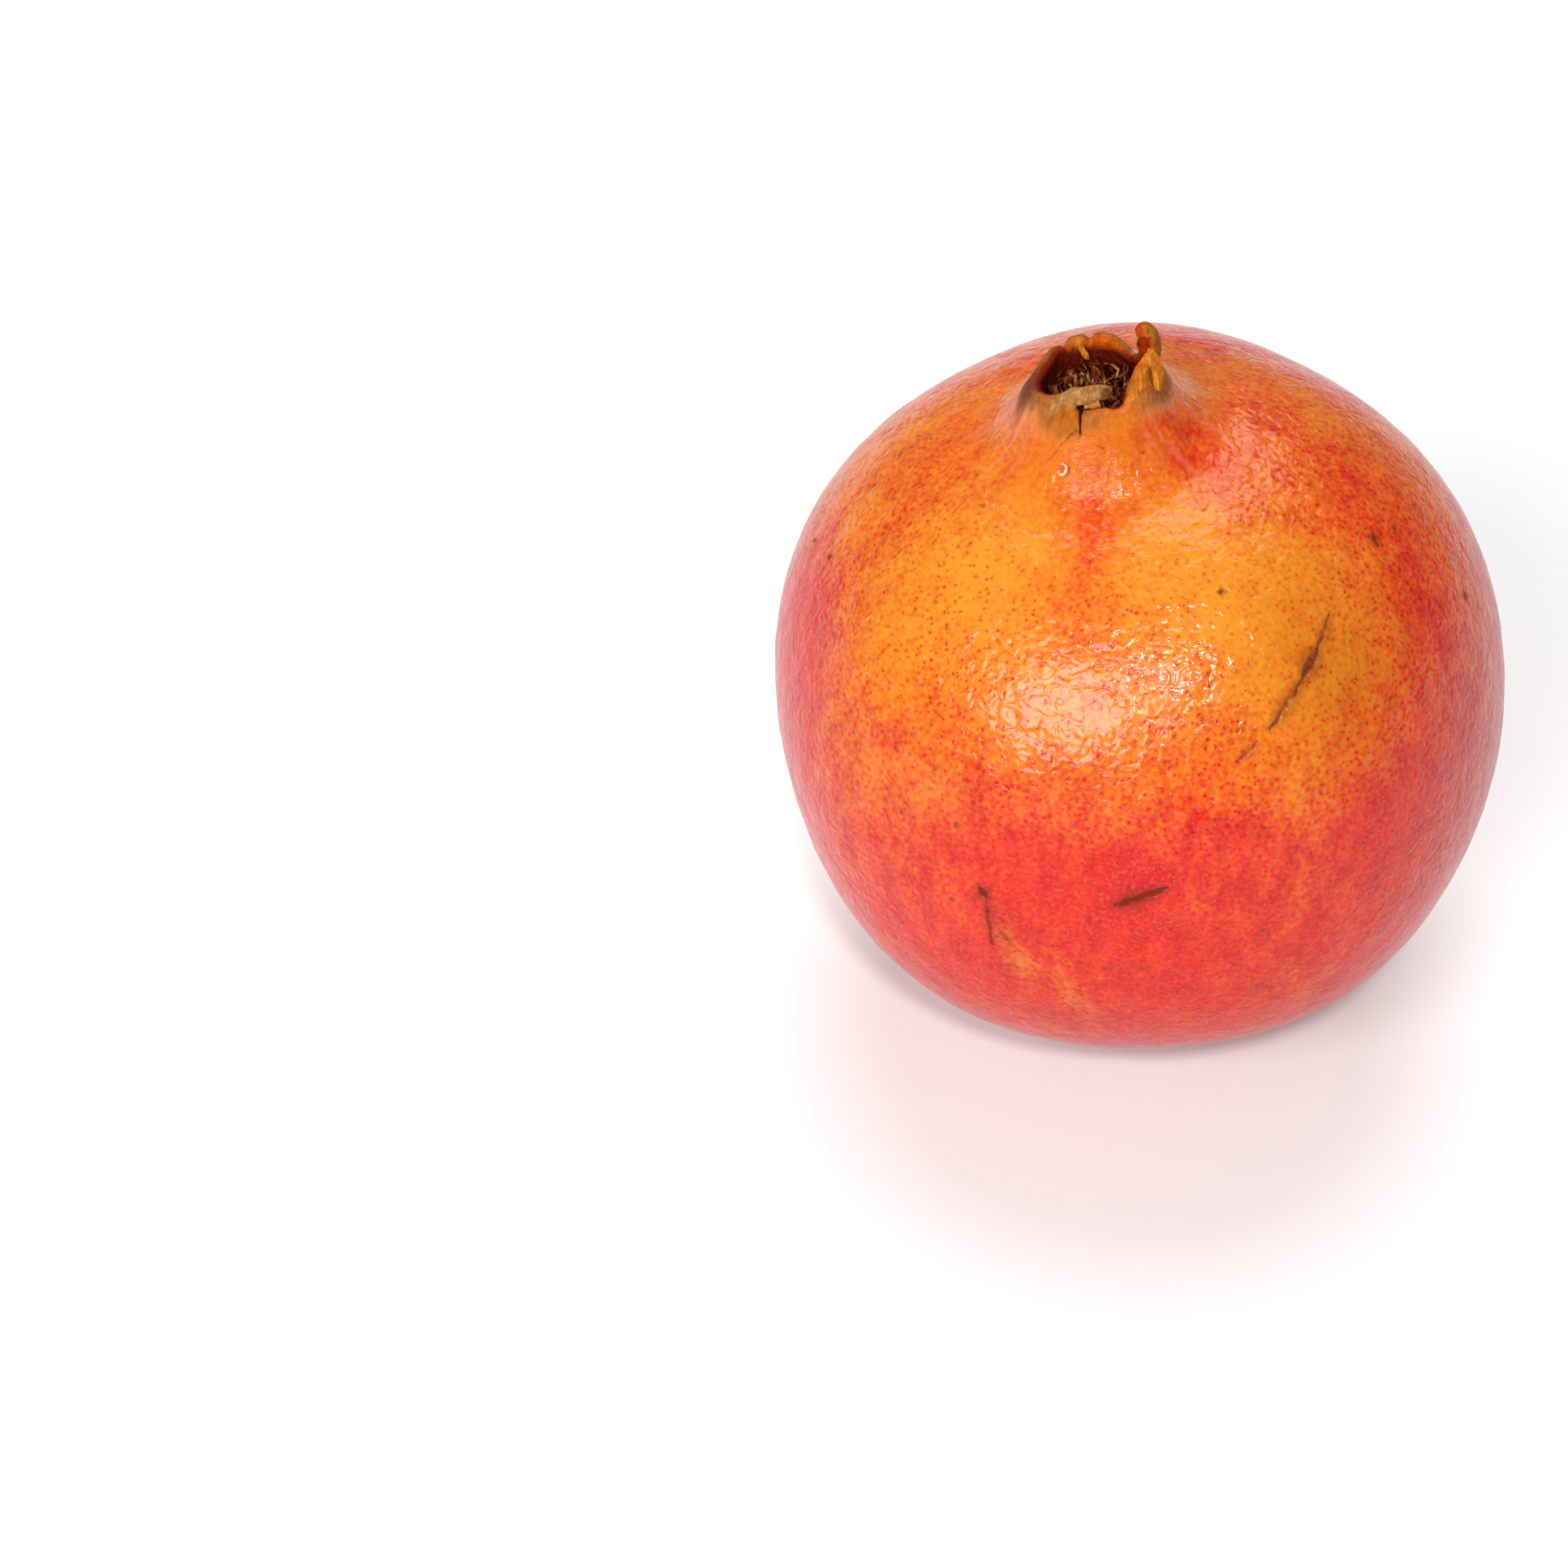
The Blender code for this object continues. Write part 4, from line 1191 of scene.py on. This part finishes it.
def rind_nodes(material):
    """Skin and bark in one shader."""
    tree, surface, place = surface_of(material)
    layers = {name: node(tree, "ShaderNodeAttribute", attribute_name=name).outputs for name in LAYERS}
    dryness = layers["dry"]["Fac"]
    patterns = skin_patterns(tree, place)
    pores = pore_shares(tree, layers, patterns)
    scarred, stained = scar_shares(tree, place)
    skin = blushed(tree, place, layers, patterns)
    skin = blend(tree, pores, skin, rgba(PORE_SHADE), "MULTIPLY")
    skin = blend(tree, spot_shares(tree, place), skin, rgba(SCAR_BROWN))
    skin = with_scars(tree, place, skin, scarred, stained)
    bark, bark_height = bark_look(tree, place, layers["ground"]["Color"])
    colour = blend(tree, dryness, skin, bark)
    glossy(tree, surface, place, layers, maths(tree, "MAXIMUM", dryness, scarred))
    pits = maths(tree, "SUBTRACT", product(tree, scarred, -1.0), product(tree, pores, 0.1))
    relief = bumpy(tree, place, layers, pits, bark_height)
    feed(tree, surface, {"Base Color": colour, "Normal": relief, "Coat Normal": relief})


rind_nodes(rind_finish)
print("finish of the rind:", len(rind_finish.node_tree.nodes), "nodes")

# %% [markdown]
# ## The dried stamens
# A pomegranate flower has a hundred or more stamens, and they stay in the crown as a tangle of curled
# threads, each with a small pollen sac at its tip, round one thicker style. One thread is modelled, and
# Geometry Nodes scatter it over the pad at the bottom of the cup, with a random tilt, turn and length.
# After the copies are made real, one noise bends them all, more and more towards their tips, and a last
# step holds every point inside the cup's wall. Hair from a particle system is harder to hold in a cup.

# %% One stamen
THREAD_POINTS, THREAD_SIDES = 9, 6
SAC_SHAPE = (0.7, 0.95, 1.35)


def thread(tree, length, radius, tip):
    """A tapering tube up the Z axis."""
    line = node(tree, "GeometryNodeCurvePrimitiveLine", {"End": xyz(tree, z=length)}).outputs[0]
    fine = node(tree, "GeometryNodeResampleCurve", {"Curve": line, "Count": THREAD_POINTS}).outputs[0]
    along = node(tree, "GeometryNodeSplineParameter").outputs["Factor"]
    size = maths(tree, "MULTIPLY", radius, within(tree, along, 0.0, 1.0, 1.15, tip))
    sized = node(tree, "GeometryNodeSetCurveRadius", {"Curve": fine, "Radius": size}).outputs[0]
    inputs = {"Resolution": THREAD_SIDES, "Radius": 1.0}
    ring = node(tree, "GeometryNodeCurvePrimitiveCircle", inputs).outputs[0]
    inputs = {"Curve": sized, "Profile Curve": ring, "Scale": size, "Fill Caps": True}
    return node(tree, "GeometryNodeCurveToMesh", inputs).outputs[0]


def marked(tree, geometry, value):
    """Stores how brown a piece is: 1 for a pollen sac, 0 for a thread."""
    inputs = {"Geometry": geometry, "Name": "sac", "Value": value}
    kind = {"data_type": "FLOAT", "domain": "POINT"}
    return node(tree, "GeometryNodeStoreNamedAttribute", inputs, **kind).outputs[0]


def together(tree, *several):
    """Several geometries as one."""
    joint = tree.nodes.new("GeometryNodeJoinGeometry")
    for geometry in several:
        tree.links.new(geometry, joint.inputs[0])
    return joint.outputs[0]


def whole_stamen(tree, given):
    """A thread with its pollen sac on top."""
    inputs = {"Radius": given["Sac Size"], "Subdivisions": 2}
    sac = node(tree, "GeometryNodeMeshIcoSphere", inputs).outputs[0]
    inputs = {"Geometry": sac, "Translation": xyz(tree, z=given["Length"]), "Scale": SAC_SHAPE}
    sac = node(tree, "GeometryNodeTransform", inputs).outputs[0]
    bare = thread(tree, given["Length"], given["Thickness"], 0.6)
    return together(tree, marked(tree, bare, 0.0), marked(tree, sac, 1.0))


# %% Scatter, bend and hold
ROOT_TILT, FULL_TURN = 0.75, 6.283  # in radians
SMALLEST, LARGEST = 0.55, 1.05
CURL_DENSITY, CURL_POWER = 330.0, 1.3


def scattered(tree, given):
    """Copies of the stamen on the upward faces of the pad."""
    upward = split_xyz(tree, node(tree, "GeometryNodeInputNormal").outputs[0])[2]
    upward = node(tree, "FunctionNodeCompare", {0: upward, 1: 0.35}, operation="GREATER_THAN").outputs[0]
    seed = given["Seed"]
    inputs = {"Mesh": given["Geometry"], "Selection": upward, "Density": given["Density"], "Seed": seed}
    roots = node(tree, "GeometryNodeDistributePointsOnFaces", inputs).outputs[0]
    inputs = {0: (-ROOT_TILT, -ROOT_TILT, 0.0), 1: (ROOT_TILT, ROOT_TILT, FULL_TURN), "Seed": seed}
    turn = node(tree, "FunctionNodeRandomValue", inputs, data_type="FLOAT_VECTOR").outputs[0]
    inputs = {2: SMALLEST, 3: LARGEST, "Seed": seed}
    size = node(tree, "FunctionNodeRandomValue", inputs, data_type="FLOAT").outputs[1]
    inputs = {"Points": roots, "Instance": whole_stamen(tree, given), "Rotation": turn, "Scale": size}
    return node(tree, "GeometryNodeInstanceOnPoints", inputs).outputs[0]


def bent(tree, given, geometry, where):
    """Moves points by a noise, more and more with their height over the roots."""
    height = maths(tree, "SUBTRACT", split_xyz(tree, where)[2], given["Root Height"])
    share = maths(tree, "MAXIMUM", maths(tree, "DIVIDE", height, given["Length"]), 0.0)
    wind = noisy(tree, where, CURL_DENSITY, detail=1.0, result=1)
    wind = vectors(tree, "SUBTRACT", wind, (0.5, 0.5, 0.62))
    reach = maths(tree, "MULTIPLY", maths(tree, "POWER", share, CURL_POWER), given["Curl"])
    inputs = {"Geometry": geometry, "Offset": scaled(tree, wind, reach)}
    return node(tree, "GeometryNodeSetPosition", inputs).outputs[0]


def held_inside(tree, given, geometry, where):
    """Pulls points that have left the cup back to its wall and its floor."""
    x, y, z = split_xyz(tree, where)
    level = xyz(tree, x, y)
    away = maths(tree, "MAXIMUM", vectors(tree, "LENGTH", level), 1e-6)
    keep = maths(tree, "MINIMUM", maths(tree, "DIVIDE", given["Cup Radius"], away), 1.0)
    lifted = xyz(tree, z=maths(tree, "MAXIMUM", z, given["Floor"]))
    held = vectors(tree, "ADD", scaled(tree, level, keep), lifted)
    return node(tree, "GeometryNodeSetPosition", {"Geometry": geometry, "Position": held}).outputs[0]


# %% The stamen tree, put together
def tuft_tree(sizes):
    """Scatters bent threads with pollen sacs over the top of a pad."""
    tree, given, result = new_tree("stamen_tuft", sizes)
    style = thread(tree, given["Style Height"], given["Style Width"], 0.8)
    inputs = {"Geometry": style, "Translation": xyz(tree, z=given["Root Height"])}
    style = node(tree, "GeometryNodeTransform", inputs).outputs[0]
    pad, copies = marked(tree, given["Geometry"], 0.6), scattered(tree, given)
    everything = together(tree, pad, copies, marked(tree, style, 0.3))
    real = node(tree, "GeometryNodeRealizeInstances", {0: everything}).outputs[0]
    where = node(tree, "GeometryNodeInputPosition").outputs[0]
    kept = held_inside(tree, given, bent(tree, given, real, where), where)
    soft = node(tree, "GeometryNodeSetShadeSmooth", {0: kept}).outputs[0]
    closed_off(tree, soft, given["Finish"], result)
    return tree


# %% Grow the tuft
PAD_RADIUS, PAD_HEIGHT, PAD_FOOT = 5.2, 2.2, -0.12
PAD_LIFT = TOUCH_GAP + 0.15


def stamen_pad():
    """A lumpy dome with a flat foot, just above the floor of the cup."""
    shape = bmesh.new()
    bmesh.ops.create_icosphere(shape, subdivisions=5, radius=1.0)
    for vertex in shape.verts:
        x, y, z = vertex.co
        lump = 1.0 + 0.25 * noise.noise(vertex.co * 5.0)
        vertex.co = Vector((PAD_RADIUS * x, PAD_RADIUS * y, PAD_HEIGHT * max(z, PAD_FOOT) * lump))
        vertex.co.z += CUP_FLOOR + PAD_LIFT
        vertex.co *= MM
    return shaped("stamens_dried", shape)


dried_finish = bpy.data.materials.new("dry_threads")
tuft = {
    "Density": 2.6e6,  # a square metre
    "Length": 0.0076,
    "Thickness": 0.00018,  # a radius, as the style's is
    "Sac Size": 0.00036,
    "Style Height": 0.0062,
    "Style Width": 0.00055,
    "Root Height": (CUP_FLOOR + TOUCH_GAP + 0.6) * MM,
    "Curl": 0.0055,
    "Cup Radius": 0.0060,
    "Floor": (CUP_FLOOR + 0.15) * MM,
    "Seed": 7,
    "Finish": dried_finish,
}
stamens = grow(stamen_pad(), tuft_tree(tuft), tuft)
one_finish(stamens, dried_finish)
set_points(stamens.data, placed(points_of(stamens.data)))
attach(stamens, "root")
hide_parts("stamens")
print("stamens:", len(stamens.data.polygons), "faces")

# %% [markdown]
# ## The cut stem
# Underneath, the fruit was cut from its twig. What is left is a stub in a dimple: bark round the side
# and pale wood with a few drying cracks on the cut. It is a cylinder with rings and rays enough to take
# both, its radius uneven round the stem, and the cut face pushed in along each crack.

# %% Outline of the stem
STEM_COLUMNS, CUT_RINGS, BARK_RINGS = 96, 14, 12
STEM_FLARE = 0.18  # how much wider it is at the bed


def stem_outline():
    """From the middle of the cut face out over the worn edge and up the bark to the bed."""
    bed = STEM_END + DIMPLE_DEPTH - TOUCH_GAP
    cut = STEM_END - STEM_PROUD
    foot = cut + 0.25
    points = [(r, cut) for r in np.linspace(0.0, STEM_RADIUS - 0.25, CUT_RINGS)]
    points += arc((STEM_RADIUS - 0.2, cut + 0.22), (0.25, 0.22), -70.0, 0.0, 5)
    for share in np.linspace(0.1, 1.0, BARK_RINGS):
        points.append((STEM_RADIUS + 0.05 + STEM_FLARE * share, foot + (bed - foot) * share))
    return points + [(r, bed) for r in (1.5, 0.7, 0.0)]


stem = turned("stem_cut", stem_outline(), STEM_COLUMNS)
print("stem:", len(stem.data.polygons), "faces")

# %% Wear and cracks
CRACK_DEPTH, SAW_MARKS = 0.45, 0.07
points = points_of(stem.data)
_, azimuth, radius = directions(points)
angle = np.radians(azimuth)
on_cut = smooth(STEM_END - STEM_PROUD + 0.2, STEM_END - STEM_PROUD, points[:, 2])
uneven = 1.0 + 0.05 * np.cos(2.0 * angle) + 0.03 * np.cos(5.0 * angle + 1.0)
uneven += (1.0 - on_cut) * 0.035 * np.cos(19.0 * angle + 2.0 * np.sin(3.0 * angle))
points[:, :2] *= uneven[:, None]
cracks = np.maximum(np.cos(3.0 * angle + 0.9 * np.sin(2.0 * angle)), 0.0) ** 24
cracked = CRACK_DEPTH * cracks * smooth(0.1, 0.8, radius)
points[:, 2] += on_cut * (cracked + SAW_MARKS * speckle(points, 0.35, 8))
set_points(stem.data, placed(turned_away(points)))
painted(stem.data, "cut", on_cut * (1.0 - 0.8 * cracks))
stem.data.shade_smooth()
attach(stem, "root")
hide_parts("stem_stub")
print("the cut face is pushed in by up to", round(float((on_cut * cracked).max()), 2), "mm")

# %% [markdown]
# ## A curl of skin
# Below the crown one shred of dried skin has lifted and curled up. It is a short bent strip, so a curve
# with a round section makes it, turned into a mesh and thinned towards its ends. It stands on the rind
# at a point and a normal read from the same formula.

# %% Model the curl
CURL_PLACE = (165.8, 244.0)  # from the stem end, azimuth
CURL_SIZE, CURL_THICKNESS, CURL_POINTS = 0.62, 0.17, 22
CURL_START, CURL_TURN = 118.0, 290.0  # in degrees


def curl_axes():
    """The curl's foot, and the directions across, down and out of the skin there."""
    foot = on_skin(*CURL_PLACE)
    across = (on_skin(CURL_PLACE[0], CURL_PLACE[1] + 3.0) - foot).normalized()
    down = (on_skin(CURL_PLACE[0] - 2.0, CURL_PLACE[1]) - foot).normalized()
    outward = down.cross(across).normalized()
    return foot, across, down, outward * math.copysign(1.0, outward.z)


def curl_of_skin():
    """A hook of skin standing on the rind."""
    foot, across, down, outward = curl_axes()
    data = bpy.data.curves.new("skin_curl", "CURVE")
    data.dimensions = "3D"
    data.bevel_depth = CURL_THICKNESS * MM
    data.bevel_resolution = 4
    data.use_fill_caps = True
    line = data.splines.new("POLY")
    line.points.add(CURL_POINTS - 1)
    for i, point in enumerate(line.points):
        share = i / (CURL_POINTS - 1)
        turn = math.radians(CURL_START - CURL_TURN * share)
        reach = CURL_SIZE * MM * (1.0 - 0.25 * share)
        place = foot + across * reach * math.cos(turn) - down * reach * 1.15 * math.sin(turn)
        place += outward * MM * (0.1 + 0.45 * math.sin(math.pi * share))
        point.co = (*place, 1.0)
        point.radius = 0.55 + 0.6 * math.sin(math.pi * share) + 0.35 * share
    return applied(added("skin_curl", data), weld=True)


curl = curl_of_skin()
curl.data.shade_smooth()
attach(curl, "root")
print("curl:", len(curl.data.polygons), "faces")

# %% [markdown]
# ## The small finishes
# The stamens, the cut stem and the curl are all dry plant tissue: two colours mixed by a noise, a low
# bump, and hardly any gloss. So one helper makes the common part, and each finish adds its own colours.
# The stamens tell sacs from threads, and the stem its cut from its bark, by a value stored on the points.

# %% Dry tissue
def two_tone(tree, texture, low, high, first, second):
    """Two screen colours mixed by a texture, from its low to its high value."""
    return blend(tree, within(tree, texture, low, high), rgba(tint(first)), rgba(tint(second)))


def dry_tissue(tree, surface, colour, roughness, height, grain):
    """Finishes a surface with a colour, a roughness and a bump of this height."""
    relief = raised(tree, grain, height)
    feed(tree, surface, {"Base Color": colour, "Roughness": roughness, "Normal": relief})


def dried_nodes(material):
    """Golden threads, brown pollen sacs."""
    tree, surface, place = surface_of(material)
    sac = node(tree, "ShaderNodeAttribute", attribute_name="sac").outputs["Fac"]
    gold = two_tone(tree, noisy(tree, place, 900.0, detail=1.0), 0.45, 0.68, "#8c3408", "#f0a850")
    brown = two_tone(tree, noisy(tree, place, 2500.0), 0.3, 0.7, "#4c1606", "#984010")
    dry_tissue(tree, surface, blend(tree, sac, gold, brown), 0.5, 0.00012, noisy(tree, place, 4200.0))
    feed(tree, surface, {"Specular IOR Level": 0.2})


def stem_nodes(material):
    """Grey brown bark round the side, pale wood on the cut."""
    tree, surface, place = surface_of(material)
    cut = node(tree, "ShaderNodeAttribute", attribute_name="cut").outputs["Fac"]
    grain = noisy(tree, place, 2200.0, detail=4.0, roughness=0.65)
    bark = two_tone(tree, grain, 0.3, 0.7, "#4c3420", "#8e7152")
    wood = two_tone(tree, grain, 0.3, 0.7, "#a07a48", "#d8bc8c")
    dry_tissue(tree, surface, blend(tree, cut, bark, wood), 0.8, 0.0002, grain)


def curl_nodes(material):
    """Cream, with a fine grain like paper."""
    tree, surface, place = surface_of(material)
    grain = noisy(tree, place, 3000.0, detail=3.0)
    dry_tissue(tree, surface, two_tone(tree, grain, 0.3, 0.7, "#e8a050", "#fff0c8"), 0.4, 0.0001, grain)


# %% Give the finishes
stem_finish = bpy.data.materials.new("cut_wood")
curl_finish = bpy.data.materials.new("dry_skin")
dried_nodes(dried_finish)
stem_nodes(stem_finish)
curl_nodes(curl_finish)
stem.data.materials.append(stem_finish)
curl.data.materials.append(curl_finish)
print("finishes:", [finish.name for finish in (rind_finish, dried_finish, stem_finish, curl_finish)])

# %% [markdown]
# ## Floor, light and camera
# The fruit is seen from the front and above, on a white floor in a white room. One large softbox to the
# left makes the broad highlight on the shoulder, a small one above the middle makes the small highlight
# beside it, and a wide one behind lights the far side. They are discs, so the highlights are round. A low
# and even world light stands for what the room's walls send back.

# %% The camera
VIEW_DOWN = 40.0  # degrees that it looks down
VIEW_DISTANCE, VIEW_RIGHT, VIEW_UP = 565.2, 44.8, 12.35  # where the body's centre is in the view
VIEW_LENS = 18.0 / math.tan(math.radians(10.0))  # sees 20 degrees on a sensor 36 mm wide


def camera():
    """Looks down at the fruit from the front."""
    down = math.radians(VIEW_DOWN)
    ahead = Vector((0.0, math.cos(down), -math.sin(down)))
    above = Vector((0.0, math.sin(down), math.cos(down)))
    made = added("camera", bpy.data.cameras.new("camera"))
    made.data.lens = VIEW_LENS
    centre = Vector(BODY_CENTRE)
    made.location = (centre - ahead * VIEW_DISTANCE - above * VIEW_UP - Vector((VIEW_RIGHT, 0.0, 0.0))) * MM
    made.rotation_euler = (math.radians(90.0 - VIEW_DOWN), 0.0, 0.0)
    made.data.clip_start = 0.01
    bpy.context.scene.camera = made
    return made


print("camera at", [round(v, 3) for v in camera().location], "m")

# %% The lights
LAMP_DISTANCE = 2.0
WORLD_STRENGTH = 0.22


def softbox(name, azimuth, elevation, size, power):
    """A round softbox that looks at the fruit, at an azimuth counted to the right of the front."""
    made = added(name, bpy.data.lights.new(name, "AREA"))
    turn, up = math.radians(azimuth), math.radians(elevation)
    toward = Vector((math.sin(turn) * math.cos(up), -math.cos(turn) * math.cos(up), math.sin(up)))
    made.location = Vector(BODY_CENTRE) * MM + toward * LAMP_DISTANCE
    made.rotation_euler = toward.to_track_quat("Z", "Y").to_euler()
    made.data.shape = "DISK"
    made.data.size = size
    made.data.energy = power


softbox("key", -30.0, 31.0, 1.1, 38.0)
softbox("second", 0.0, 47.0, 0.22, 18.0)
softbox("back", 178.0, 60.0, 1.8, 32.0)
world = bpy.data.worlds.new("studio")
world.use_nodes = True
bpy.context.scene.world = world
background = {"Color": (1.0, 1.0, 1.0, 1.0), "Strength": WORLD_STRENGTH}
feed(world.node_tree, world.node_tree.nodes["Background"], background)
bpy.context.scene.view_settings.view_transform = "Standard"

# %% The floor
HALF = 3.0  # half the floor's width, in metres
FLOOR_CORNERS = [(-HALF, -HALF, 0.0), (HALF, -HALF, 0.0), (HALF, HALF, 0.0), (-HALF, HALF, 0.0)]
floor_mesh = bpy.data.meshes.new("floor")
floor_mesh.from_pydata(FLOOR_CORNERS, [], [(0, 1, 2, 3)])
floor = added("floor", floor_mesh)
floor_finish = bpy.data.materials.new("floor")
floor_tree, floor_surface, _ = surface_of(floor_finish)
feed(floor_tree, floor_surface, {"Base Color": (0.8, 0.8, 0.8, 1.0), "Roughness": 0.9})
floor_mesh.materials.append(floor_finish)
print("floor:", 2.0 * HALF, "m wide")
